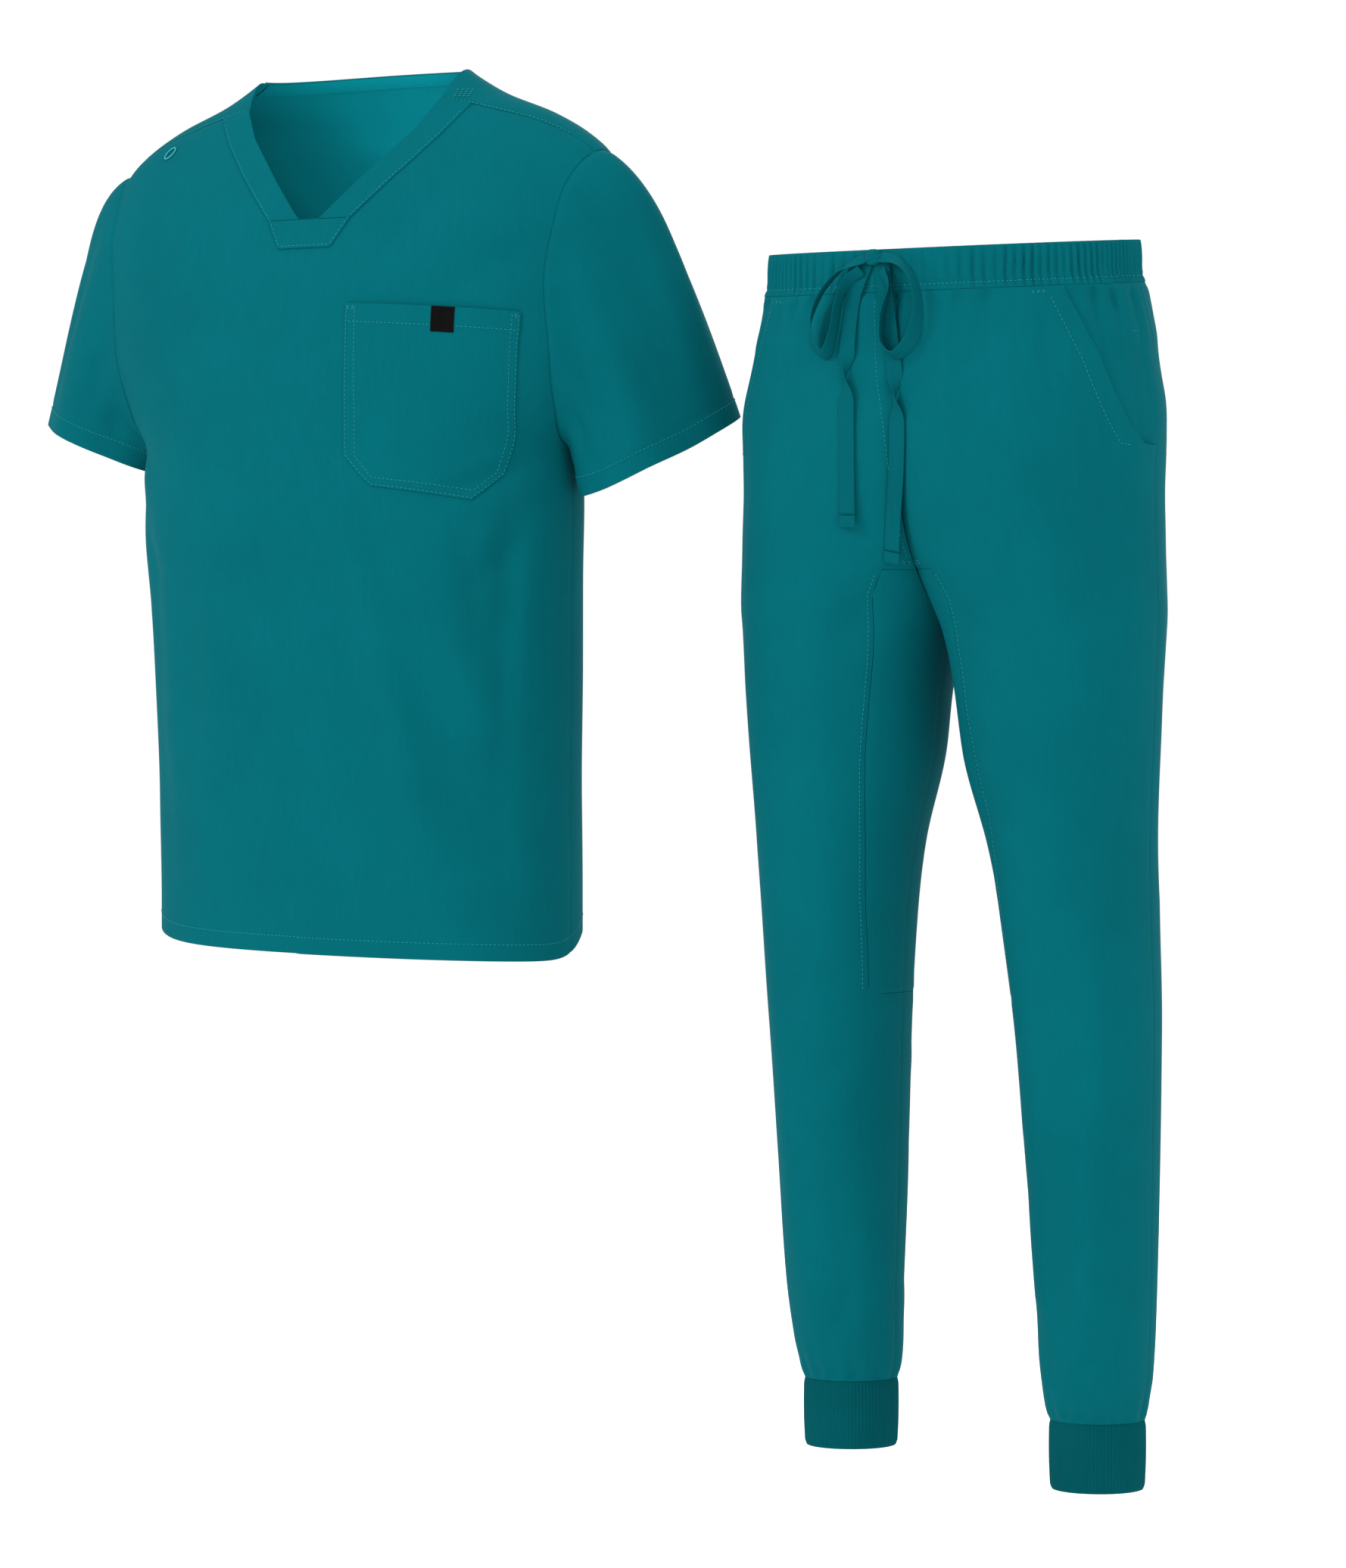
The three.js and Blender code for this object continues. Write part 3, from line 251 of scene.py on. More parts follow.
def grid_faces(rows: int, columns: int) -> Array:
    """Triangles of a grid whose points are listed row by row."""
    r, c = np.meshgrid(np.arange(rows - 1), np.arange(columns - 1), indexing="ij")
    a = (r * columns + c).ravel()
    quads = np.stack([a, a + columns, a + columns + 1, a + 1], 1)
    return np.concatenate([quads[:, [0, 1, 2]], quads[:, [0, 2, 3]]])


def make_mesh(name: str, points: Array, faces: Array, uv: Array | None = None) -> bpy.types.Object:
    """Mesh object at the origin from points in millimetres, with smooth faces and sharp open edges.

    Args:
        name: Name of the piece.
        points: Corner points.
        faces: Triangles, as rows of three point numbers.
        uv: Place of each point on the flat cloth in millimetres.

    Returns:
        The new object, linked to the scene.
    """
    mesh = bpy.data.meshes.new(name)
    count = len(faces)
    mesh.vertices.add(len(points))
    mesh.vertices.foreach_set("co", (np.asarray(points, float) * MM).astype(np.float32).ravel())
    mesh.loops.add(count * 3)
    mesh.loops.foreach_set("vertex_index", faces.astype(np.int32).ravel())
    mesh.polygons.add(count)
    mesh.polygons.foreach_set("loop_start", np.arange(0, count * 3, 3, dtype=np.int32))
    mesh.polygons.foreach_set("use_smooth", np.ones(count, dtype=bool))
    if uv is not None:
        layer = mesh.uv_layers.new(name="cloth")
        layer.data.foreach_set("uv", (uv[faces.ravel()] * MM).astype(np.float32).ravel())
    mesh.update(calc_edges=True)
    edge_of = np.empty(count * 3, dtype=np.int32)
    mesh.loops.foreach_get("edge_index", edge_of)
    uses = np.bincount(edge_of, minlength=len(mesh.edges))
    sharp = mesh.attributes.new("sharp_edge", "BOOLEAN", "EDGE")
    sharp.data.foreach_set("value", uses < 2)
    mesh.validate()
    piece = bpy.data.objects.new(name, mesh)
    bpy.context.collection.objects.link(piece)
    return piece


def give_wall(piece: bpy.types.Object, thickness: float) -> None:
    """Gives a sheet its thickness inwards, with closed edges."""
    wall = piece.modifiers.new("wall", "SOLIDIFY")
    wall.thickness = thickness * MM
    wall.offset = -1.0
    wall.use_rim = True


def faced_out(patch: Patch) -> Patch:
    """Turns the triangles over where they face inwards."""
    a, b, c = (patch.points[patch.faces[:, i]] for i in range(3))
    facing = np.cross(b - a, c - a)
    if float((facing * patch.normals[patch.faces[:, 0]]).sum()) < 0:
        patch.faces = patch.faces[:, ::-1]
    return patch


# ---------------------------------------------------------------- finishes


def linear(colour: str) -> tuple[float, float, float, float]:
    """Linear colour of an sRGB hex value."""
    parts = [int(colour[i:i + 2], 16) / 255 for i in (1, 3, 5)]
    low = [c / 12.92 if c <= 0.04045 else ((c + 0.055) / 1.055) ** 2.4 for c in parts]
    return (low[0], low[1], low[2], 1.0)


def add_node(
    tree: bpy.types.NodeTree, kind: str, settings: dict[str, Any], links: dict[str, tuple[bpy.types.Node, str]]
) -> bpy.types.Node:
    """Adds one node with its settings and links.

    Args:
        tree: Node tree to add to.
        kind: Blender's name of the node's type.
        settings: Values by property name, or by input name where the node has no such property.
        links: Input name to the node and output that feed it.

    Returns:
        The new node.
    """
    node = tree.nodes.new(kind)
    for name, value in settings.items():
        if hasattr(node, name):
            setattr(node, name, value)
        else:
            node.inputs[name].default_value = value
    for name, (source, output) in links.items():
        tree.links.new(source.outputs[output], node.inputs[int(name) if name.isdigit() else name])
    return node


class Slot(Enum):
    """Material slots of the record."""

    POPLIN = "poplin"
    BINDING = "binding_tape"
    RIB = "rib_knit"
    LABEL = "label_satin"
    TAPE = "drawstring_tape"
    LOOP = "loop_cord"


@dataclass(frozen=True)
class ClothFinish:
    """A dyed cloth: soft broad unevenness of the dye, threads that run both ways, and a matt sheen."""

    name: str
    base: str
    deep: str
    roughness: float
    sheen: float
    thread: float
    thread_height: float
    rumple: float = 0.0

    def material(self) -> bpy.types.Material:
        """Builds the node material.

        Returns:
            The material, patterned on the piece's own flat-cloth UV map and Object coordinates.
        """
        made = bpy.data.materials.new(self.name)
        made.use_nodes = True
        tree = made.node_tree
        shader = tree.nodes["Principled BSDF"]
        place = add_node(tree, "ShaderNodeTexCoord", {}, {})
        flat = add_node(tree, "ShaderNodeUVMap", {"uv_map": "cloth"}, {})
        broad = add_node(
            tree, "ShaderNodeTexNoise", {"Scale": 9.0, "Detail": 3.0, "Roughness": 0.6}, {"Vector": (place, "Object")}
        )
        # Slubs are drawn 3 mm wide and 25 mm long: real ones are too fine to show.
        stretched = add_node(
            tree, "ShaderNodeMapping", {"Scale": (320.0, 40.0, 1.0)}, {"Vector": (flat, "UV")}
        )
        slub = add_node(
            tree, "ShaderNodeTexNoise", {"Scale": 1.0, "Detail": 2.0, "Roughness": 0.5}, {"Vector": (stretched, "Vector")}
        )
        tone = add_node(
            tree, "ShaderNodeMix", {"data_type": "FLOAT", "Factor": 0.3}, {"2": (broad, "Fac"), "3": (slub, "Fac")}
        )
        ramp = add_node(tree, "ShaderNodeValToRGB", {}, {"Fac": (tone, "Result")})
        ramp.color_ramp.elements[0].position = 0.36
        ramp.color_ramp.elements[0].color = linear(self.deep)
        ramp.color_ramp.elements[1].position = 0.66
        ramp.color_ramp.elements[1].color = linear(self.base)
        tree.links.new(ramp.outputs["Color"], shader.inputs["Base Color"])
        # One band of a wave texture is 0.314 of its space divided by its scale.
        pitch = 0.314 / (self.thread * MM)
        along = add_node(
            tree, "ShaderNodeTexWave", {"bands_direction": "X", "Scale": pitch, "Distortion": 0.0}, {"Vector": (flat, "UV")}
        )
        across = add_node(
            tree, "ShaderNodeTexWave", {"bands_direction": "Y", "Scale": pitch, "Distortion": 0.0}, {"Vector": (flat, "UV")}
        )
        weave = add_node(
            tree, "ShaderNodeMix", {"data_type": "FLOAT", "Factor": 0.5}, {"2": (along, "Fac"), "3": (across, "Fac")}
        )
        fine = add_node(
            tree, "ShaderNodeBump", {"Strength": 0.35, "Distance": self.thread_height * MM}, {"Height": (weave, "Result")}
        )
        rumpled = add_node(
            tree, "ShaderNodeTexNoise", {"Scale": 24.0, "Detail": 2.5, "Roughness": 0.5}, {"Vector": (place, "Object")}
        )
        soft = add_node(
            tree, "ShaderNodeBump", {"Strength": 1.0, "Distance": max(self.rumple, 0.01) * MM},
            {"Height": (rumpled, "Fac"), "Normal": (fine, "Normal")},
        )
        tree.links.new(soft.outputs["Normal"], shader.inputs["Normal"])
        shader.inputs["Roughness"].default_value = self.roughness
        shader.inputs["Specular IOR Level"].default_value = 0.03
        shader.inputs["Sheen Weight"].default_value = self.sheen
        shader.inputs["Sheen Roughness"].default_value = 0.5
        shader.inputs["Sheen Tint"].default_value = linear("#00a0ae")
        return made


@dataclass(frozen=True)
class PlainFinish:
    """A fine surface with a little mottling, such as sewing thread or a studio floor."""

    name: str
    base: str
    roughness: float
    grain: float = 900.0
    mottle: float = 0.92

    def material(self) -> bpy.types.Material:
        """Builds the node material, mottled on Object coordinates."""
        made = bpy.data.materials.new(self.name)
        made.use_nodes = True
        tree = made.node_tree
        shader = tree.nodes["Principled BSDF"]
        place = add_node(tree, "ShaderNodeTexCoord", {}, {})
        grain = add_node(tree, "ShaderNodeTexNoise", {"Scale": self.grain, "Detail": 2.0}, {"Vector": (place, "Object")})
        ramp = add_node(tree, "ShaderNodeValToRGB", {}, {"Fac": (grain, "Fac")})
        ramp.color_ramp.elements[0].color = [c * self.mottle for c in linear(self.base)[:3]] + [1.0]
        ramp.color_ramp.elements[1].color = linear(self.base)
        tree.links.new(ramp.outputs["Color"], shader.inputs["Base Color"])
        shader.inputs["Roughness"].default_value = self.roughness
        shader.inputs["Specular IOR Level"].default_value = 0.1
        return made


@dataclass
class Finishes:
    """All the finishes of the set, each built once."""

    # Stretch poplin, piece dyed: matt with a soft glow on slopes.
    poplin: bpy.types.Material = field(
        default_factory=lambda: ClothFinish("stretch_poplin", "#005c64", "#00575f", 0.85, 0.05, 1.3, 0.18, 0.45).material()
    )
    # Woven binding tape: the same dye, closer weave.
    binding: bpy.types.Material = field(
        default_factory=lambda: ClothFinish("woven_binding_tape", "#00626a", "#005c64", 0.85, 0.04, 1.1, 0.2).material()
    )
    # Rib knit: duller, and its ribs are modelled.
    rib: bpy.types.Material = field(
        default_factory=lambda: ClothFinish("rib_knit", "#004e54", "#00484e", 0.9, 0.06, 1.0, 0.25).material()
    )
    # Woven satin label: smooth floats of black thread.
    label: bpy.types.Material = field(
        default_factory=lambda: ClothFinish("woven_satin_label", "#0c0a0b", "#060506", 0.5, 0.02, 0.8, 0.1).material()
    )
    # Folded and stitched poplin tape.
    tape: bpy.types.Material = field(
        default_factory=lambda: ClothFinish("folded_poplin_tape", "#00565e", "#005058", 0.85, 0.05, 1.1, 0.2).material()
    )
    # Fine braided cord: paler than the cloth, because it takes the dye less.
    loop: bpy.types.Material = field(
        default_factory=lambda: PlainFinish("fine_braided_cord", "#2f949d", 0.7).material()
    )
    # Polyester sewing thread: a little lighter than the cloth because it shines.
    thread: bpy.types.Material = field(
        default_factory=lambda: PlainFinish("polyester_sewing_thread", "#23868f", 0.6).material()
    )


# ---------------------------------------------------------------- forms that cloth follows


class Form:
    """A curved face read by an angle round it and a level along it."""

    def base(self, angle: Array, level: Array) -> Array:
        """Point of the plain face."""
        raise NotImplementedError

    def outward(self, angle: Array, level: Array) -> Array:
        """Rough outward direction."""
        raise NotImplementedError

    def height(self, at: Array, angle: Array, level: Array) -> Array:
        """Height of the creases over the plain face."""
        return np.zeros(np.shape(at)[:-1])

    def face(self, angle: Array, level: Array, lift: float | Array = 0.0) -> tuple[Array, Array, Array]:
        """Face with its creases: the plain point plus its normal times the height.

        Args:
            angle: Angles round the form.
            level: Levels along it.
            lift: Distance to move the face out by.

        Returns:
            Resting points, lying points and outward directions.
        """
        angle, level = np.broadcast_arrays(np.asarray(angle, float), np.asarray(level, float))
        at = self.base(angle, level)
        round_step = self.base(angle + STEP_TURN, level) - self.base(angle - STEP_TURN, level)
        down = self.level_step()
        level_step = self.base(angle, level + down) - self.base(angle, level - down)
        normal = unit(np.cross(round_step, level_step))
        wrong = (normal * self.outward(angle, level)).sum(-1) < 0
        normal = np.where(wrong[..., None], -normal, normal)
        high = self.height(at, angle, level) + lift
        return at, at + normal * high[..., None], normal

    def level_step(self) -> float:
        """Step along the level that a normal is measured over."""
        return STEP_LEVEL

    def patch(self, angle: Array, level: Array, uv: tuple[Array, Array], lift: float | Array = 0.0) -> Patch:
        """Patch over a grid of angles and levels.

        Args:
            angle: Grid of angles.
            level: Grid of levels.
            uv: Two grids with the places on the flat cloth, in millimetres.
            lift: Distance to move the face out by.

        Returns:
            The patch, its triangles facing outwards.
        """
        rest, points, normals = self.face(angle, level, lift)
        rows, columns = points.shape[:2]
        flat = np.stack(np.broadcast_arrays(*uv), -1).reshape(-1, 2)
        faces = grid_faces(rows, columns)
        return faced_out(Patch(rest.reshape(-1, 3), points.reshape(-1, 3), normals.reshape(-1, 3), flat, faces))


def front_share(y: Array, middle: Array | float, soft: float = 30.0) -> Array:
    """How far a point belongs to the front, from 0 at the back to 1."""
    return np.clip((middle - y) / (2 * soft) + 0.5, 0, 1)


TOP_SECTIONS = Table(
    "z half front back middle square",
    [
        (8, 92, 26, 62, 0, 2.0), (0, 101, 31, 66, 0, 2.0), (-10, 116, 36, 73, 0, 2.0),
        (-22, 138, 41, 80, 0, 2.0), (-40, 183, 47, 89, 0, 2.0), (-58, 215, 55, 96, 0, 2.0),
        (-75, 235, 64, 102, 0, 2.0), (-104, 252, 79, 110, 0, 2.0), (-141, 260, 94, 116, 0, 2.0),
        (-186, 254, 106, 119, 0, 2.0), (-234, 246, 115, 120, 0, 2.0), (-289, 224, 121, 119, -1, 2.0),
        (-327, 206, 123, 119, -3, 2.05), (-372, 207, 123, 118, -4, 2.1), (-430, 204, 121, 115, 0, 2.1),
        (-520, 201, 120, 114, 5, 2.1), (-620, 198, 119, 115, 8, 2.1), (-700, 198, 118, 116, 9, 2.1),
        (-752, 198, 118, 116, 9, 2.1),
    ],
)
NECK_EDGE = Table("z x", [(-131, 10), (-80, 57), (-55, 80), (-28, 96), (-2, 102), (30, 103)])
BAND_EDGE = Table("z x", [(-131, 41), (-83, 86), (-60, 106), (-38, 122), (-20, 131), (30, 137)])
SHOULDER_SEAM = Table("x y", [(0, -33), (97, -33), (150, -27), (228, -13), (420, -13)])
NECK_FOOT, BAND_FOOT, BAND_HEAD_HALF, BAND_FOOT_HALF = -131.0, -156.0, 41.0, 26.0
SPLIT_LEVEL = -203.0
ARMHOLE_Z, ARMHOLE_HIGH, ARMHOLE_BACK, ARMHOLE_INSIDE = -201.0, 126.0, 62.0, 120.0
ARMHOLE_FRONT_LEFT, ARMHOLE_FRONT_RIGHT = 60.0, 50.0
NECK_BACK_RISE, HEM, HEM_SLOPE = 7.0, -752.0, 0.03
HEM_CORNER_LEFT, HEM_CORNER_RIGHT = (43.0, 24.0, 38.0), (-16.0, 16.0, 55.0)
SEAM_HALF_GAP = 0.15


def straight(table: Table, name: str, level: Array) -> Array:
    """Value of a table's column joined by straight lines, as the seams were cut."""
    return np.interp(level, table.levels, table.columns[name])


@dataclass
class TorsoForm(Form):
    """Body of the top: an ellipse a level, with different depths to the front and the back."""

    folds: tuple[Fold, ...] = (
        Fold(0.02, 0.018, -3.2, 0.05, -365, -700), Fold(0.055, 0.016, 2.6, 0.045, -420, -720),
        Fold(0.17, 0.014, -3.0, -0.01, -340, -640), Fold(-0.16, 0.016, -2.6, 0.015, -345, -560),
        Fold(-0.06, 0.02, 1.8, -0.03, -430, -715), Fold(0.36, 0.02, -3.0, 0.03, -300, -650),
        Fold(-0.37, 0.022, -3.2, -0.025, -310, -690), Fold(0.49, 0.02, 2.2, 0.0, -420, -720),
    )
    front_creases: tuple[Crease, ...] = (
        Crease(70, -352, 118, -500, 17, -3.0, 6), Crease(98, -470, 158, -690, 22, -3.4, -8),
        Crease(60, -400, 96, -590, 14, 1.8, 5), Crease(150, -380, 176, -560, 11, -2.2, 4),
        Crease(205, -330, 120, -372, 9, -2.6, -5), Crease(204, -352, 150, -455, 10, -2.2, -6),
        Crease(202, -372, 182, -520, 9, 1.8, 3), Crease(150, -92, 62, -178, 15, -1.7, 6),
        Crease(186, -112, 84, -196, 17, 1.5, 5), Crease(206, -158, 128, -204, 12, -1.6, 4),
        Crease(-206, -300, -140, -352, 10, -2.4, 5), Crease(-204, -330, -158, -440, 11, -2.2, 5),
        Crease(-190, -170, -120, -215, 12, -1.5, -4), Crease(-150, -92, -86, -170, 14, -1.4, -5),
        Crease(-120, -420, -96, -640, 20, -2.0, 6), Crease(-40, -520, -20, -720, 18, 1.6, -5),
        Crease(-176, -460, -150, -700, 13, -1.8, 4), Crease(24, -640, 60, -735, 13, -1.4, 3),
        Crease(-70, -215, -30, -330, 20, -1.2, 6), Crease(180, -600, 190, -735, 9, 1.6, 2),
    )
    back_creases: tuple[Crease, ...] = (
        Crease(-150, -60, -60, -150, 17, -2.2, 8), Crease(150, -60, 60, -150, 17, -2.2, -8),
        Crease(-70, -50, 66, -58, 12, -1.8, 6), Crease(-196, -250, -96, -330, 14, -2.8, 8),
        Crease(196, -240, 100, -322, 14, -2.8, -8), Crease(-180, -330, -110, -470, 16, -2.4, 6),
        Crease(182, -322, 118, -450, 15, -2.6, -6), Crease(-20, -260, -34, -480, 20, -2.4, 8),
        Crease(34, -300, 48, -560, 20, 2.0, -6), Crease(-110, -500, -84, -730, 17, -2.6, 6),
        Crease(96, -480, 118, -730, 18, -2.8, -6), Crease(6, -560, 0, -738, 16, 1.8, 3),
        Crease(-160, -560, -172, -735, 12, 1.8, 2),
    )

    def base(self, angle: Array, level: Array) -> Array:
        """Point at an angle from the centre front: half times sine, minus depth times cosine, plus long folds."""
        shape = 2 / TOP_SECTIONS.at("square", level)
        sin, cos = signed_power(np.sin(angle), shape), signed_power(np.cos(angle), shape)
        depth = np.where(cos > 0, TOP_SECTIONS.at("front", level), TOP_SECTIONS.at("back", level))
        fold = fold_height(self.folds, angle / (2 * np.pi), level)
        x = TOP_SECTIONS.at("half", level) * sin + fold * np.sin(angle)
        y = TOP_SECTIONS.at("middle", level) - depth * cos - fold * np.cos(angle)
        return np.stack(np.broadcast_arrays(x, y, level), -1)

    def outward(self, angle: Array, level: Array) -> Array:
        """Away from the body's middle, and a little up."""
        return np.stack([np.sin(angle), -np.cos(angle), np.full(np.shape(angle), 0.2)], -1)

    def height(self, at: Array, angle: Array, level: Array) -> Array:
        """Creases of the front and of the back, each on its own side."""
        share = front_share(at[..., 1], 0.0)
        front = crease_height(self.front_creases, at[..., 0], at[..., 2])
        back = crease_height(self.back_creases, at[..., 0], at[..., 2])
        edge = np.clip((NECK_BACK_RISE + 2 - at[..., 2]) / 40, 0, 1)
        return (front * share + back * (1 - share)) * edge

    def angle_at(self, x: Array | float, level: Array | float) -> Array:
        """Angle on the front where the body is x from its middle."""
        ratio = np.clip(np.abs(x) / TOP_SECTIONS.at("half", level), 0, 1)
        return np.sign(x) * np.arcsin(ratio ** (TOP_SECTIONS.at("square", level) / 2))

    def neck_rise(self, angle: Array) -> Array:
        """Rise of the neck edge towards the middle of the back."""
        return NECK_BACK_RISE * np.maximum(0, -np.cos(angle)) ** 1.5

    def hem_level(self, angle: Array) -> Array:
        """Level of the hem: raised round the side seams, and lower on the wearer's left."""
        at = self.base(np.asarray(angle, float), np.full(np.shape(angle), -740.0))
        left = at[..., 0] > 0
        behind, rise, reach = (np.where(left, a, b) for a, b in zip(HEM_CORNER_LEFT, HEM_CORNER_RIGHT))
        away = (at[..., 1] - TOP_SECTIONS.at("middle", -740.0) - behind) / reach
        return HEM + rise * np.exp(-(away**2)) - HEM_SLOPE * at[..., 0]

    def grid(self, first: float, last: float, columns: int, rows: int, low: float | None = None) -> tuple[Array, Array]:
        """Grid of angles and levels from the neck edge down, closer together over the shoulders."""
        angle = np.linspace(first, last, columns)[None, :].repeat(rows, 0)
        share = np.linspace(0, 1, rows)[:, None] ** 1.25
        top = self.neck_rise(angle)
        foot = self.hem_level(angle) if low is None else np.full(angle.shape, low)
        return angle, top + (foot - top) * share


@dataclass
class TopCut:
    """Seam lines of the top as fields, positive on the side that a panel keeps."""

    def neck(self, p: Array) -> Array:
        """Outside the V of the neck opening."""
        v = np.maximum(np.abs(p[:, 0]) - straight(NECK_EDGE, "x", p[:, 2]), NECK_FOOT - p[:, 2])
        return np.where(p[:, 1] < 2, v, 50.0)

    def band_edge(self, p: Array) -> Array:
        """Outside the outer edge of the neck bands and their foot."""
        share = np.clip((p[:, 2] - BAND_FOOT) / (NECK_FOOT - BAND_FOOT), 0, 1)
        foot = BAND_FOOT_HALF + (BAND_HEAD_HALF - BAND_FOOT_HALF) * share
        edge = np.where(p[:, 2] > NECK_FOOT, straight(BAND_EDGE, "x", p[:, 2]), foot)
        return np.maximum(np.abs(p[:, 0]) - edge, BAND_FOOT - p[:, 2])

    def front(self, p: Array) -> Array:
        """In front of the shoulder seam above the armhole's middle, and of the side seam below it."""
        shoulder = straight(SHOULDER_SEAM, "y", np.abs(p[:, 0]))
        side = TOP_SECTIONS.at("middle", p[:, 2])
        return np.where(p[:, 2] > SPLIT_LEVEL, shoulder, side) - p[:, 1] - SEAM_HALF_GAP

    def back(self, p: Array) -> Array:
        """Behind the same seams."""
        return -self.front(p) - 2 * SEAM_HALF_GAP

    def armhole(self, p: Array) -> Array:
        """Outside the armhole's oval, about in millimetres."""
        front = np.where(p[:, 0] > 0, ARMHOLE_FRONT_LEFT, ARMHOLE_FRONT_RIGHT)
        depth = np.where(p[:, 1] < 0, front, ARMHOLE_BACK)
        away = np.hypot(p[:, 1] / depth, (p[:, 2] - ARMHOLE_Z) / ARMHOLE_HIGH) - 1
        return np.where(np.abs(p[:, 0]) > ARMHOLE_INSIDE, away * 70, 60.0)


@dataclass
class SleeveForm(Form):
    """Sleeve: from each point of the armhole a smooth line runs to the hem ring."""

    side: int
    hem: tuple[float, float, float]
    outer: tuple[float, float, float]
    front: tuple[float, float, float]
    root_pull: tuple[float, float, float]
    root_length: float
    hem_pull: tuple[float, float, float]
    cap: float
    creases: tuple[Crease, ...]
    folds: tuple[Fold, ...] = (
        Fold(0.12, 0.045, -2.6), Fold(0.21, 0.04, 2.2), Fold(0.33, 0.05, -3.0),
        Fold(0.68, 0.05, -2.8), Fold(0.82, 0.05, 2.0),
    )

    def base(self, angle: Array, level: Array) -> Array:
        """Cubic line between the armhole's ring and the hem's, pulled out at the root and down at the hem."""
        inset, proud = 0.3, 1.0
        sin, cos = np.sin(angle), np.cos(angle)
        front = ARMHOLE_FRONT_LEFT if self.side > 0 else ARMHOLE_FRONT_RIGHT
        y = -(np.where(sin > 0, front, ARMHOLE_BACK) - inset) * sin
        z = ARMHOLE_Z + (ARMHOLE_HIGH - inset) * cos
        depth = np.where(y < 0, TOP_SECTIONS.at("front", z), TOP_SECTIONS.at("back", z))
        reach = np.sqrt(np.maximum(0, 1 - ((y - TOP_SECTIONS.at("middle", z)) / depth) ** 2))
        start = np.stack([TOP_SECTIONS.at("half", z) * reach + proud, y, z], -1)
        end = np.array(self.hem) + cos[..., None] * np.array(self.outer) + sin[..., None] * np.array(self.front)
        length = np.linalg.norm(end - start, axis=-1)
        pull = np.stack(
            [np.full(sin.shape, self.root_pull[0]), self.root_pull[1] * sin, self.root_pull[2] - 0.2 * cos], -1
        )
        t = np.asarray(level, float)
        w = [a[..., None] for a in (
            2 * t**3 - 3 * t**2 + 1, self.root_length * length * (t**3 - 2 * t**2 + t),
            3 * t**2 - 2 * t**3, length * (t**3 - t**2),
        )]
        line = start * w[0] + unit(pull) * w[1] + end * w[2] + unit(np.array(self.hem_pull)) * w[3]
        fold = fold_height(self.folds, angle / (2 * np.pi), 0.0)
        fold = fold * np.sin(np.pi * np.clip(t, 0, 1) ** 1.3 * 0.62)
        cap = self.cap * np.maximum(0, cos) * np.sin(np.pi * np.clip(t * 2.4, 0, 1))
        away = unit(np.stack([0.85 * cos, -sin, 0.5 * cos], -1))
        line = line + away * (fold + cap)[..., None]
        return line * np.array([self.side, 1, 1])

    def outward(self, angle: Array, level: Array) -> Array:
        """Away from the sleeve's middle line."""
        return np.stack([self.side * 0.6 * np.cos(angle), -np.sin(angle), 0.4 * np.cos(angle)], -1)

    def level_step(self) -> float:
        """Step along the sleeve, as a share of its length."""
        return 0.01

    def height(self, at: Array, angle: Array, level: Array) -> Array:
        """Creases placed by turn (in hundredths) and share (in hundredths) along the sleeve."""
        turn = np.mod(angle / (2 * np.pi) + 0.5, 1.0) - 0.5
        return crease_height(self.creases, turn * 100, np.asarray(level) * 100)


LEG_SECTIONS = Table(
    "z out half front back middle",
    [
        (-150, 24, 132, 110, 108, 0), (-192, 24, 132, 110, 108, 0), (-209, 26, 136, 111, 109, 0),
        (-228, 27, 140, 113, 111, 0), (-252, 28, 144, 114, 113, -1), (-290, 34, 144, 116, 116, -2),
        (-335, 46, 133, 116, 118, -2), (-370, 56, 122, 115, 117, -2), (-400, 66, 112.5, 113, 115, -2),
        (-425, 75, 104, 109, 112, -2), (-448, 83, 97, 104, 108, -2), (-466, 88, 92.5, 101, 104, -1),
        (-480, 90.5, 89.4, 98, 101, 0), (-520, 94, 84, 92, 95, 0), (-578, 96, 79, 88, 90, 2),
        (-652, 103.5, 67.5, 78, 81, 5), (-707, 107.5, 62, 74, 77, 10), (-800, 111.5, 57, 67, 70, 19),
        (-910, 112.5, 52, 62, 65, 26), (-1021, 113.5, 47, 54, 57, 31), (-1076, 112, 44, 49, 52, 36),
        (-1098, 111, 41, 44, 46, 38), (-1111, 111, 38.5, 39, 39.5, 39), (-1170, 111, 37.5, 38, 38, 39),
    ],
)
INNER_PANEL = Table("z x", [(-434, 21), (-455, 31), (-520, 40), (-580, 47), (-640, 54), (-700, 60), (-778, 65)])
POCKET_MOUTH = Table("z x", [(-150, 126), (-212, 129), (-239, 141.5), (-268, 154), (-303, 166.5), (-336, 177.5), (-352, 240)])
WAIST_TOP, WAIST_SEAM, WAIST_TILT, WAIST_TILT_REACH = -171.0, -205.0, 0.085, 90.0
STEP_FROM, STEP_TO, STEP_DROP = -700.0, -1100.0, 11.0
CUFF_TOP, CUFF_BOTTOM = -1110.0, -1166.0
PANEL_TOP, PANEL_FOOT = -434.0, -778.0


def leg_drop(side: int, level: Array) -> Array:
    """Drop of one leg against the other below the thigh, as the wearer steps."""
    return -side * STEP_DROP * np.clip((STEP_FROM - level) / (STEP_FROM - STEP_TO), 0, 1)


def leg_side(level: float) -> float:
    """Distance of a leg's outer side from the pair's middle."""
    return float(LEG_SECTIONS.at("out", level) + LEG_SECTIONS.at("half", level))


def waist_fade(below: Array) -> Array:
    """How much of the gathers shows below the waist seam: nought where they are sewn flat into it."""
    return 1 - np.exp(-((below / 4.0) ** 2))


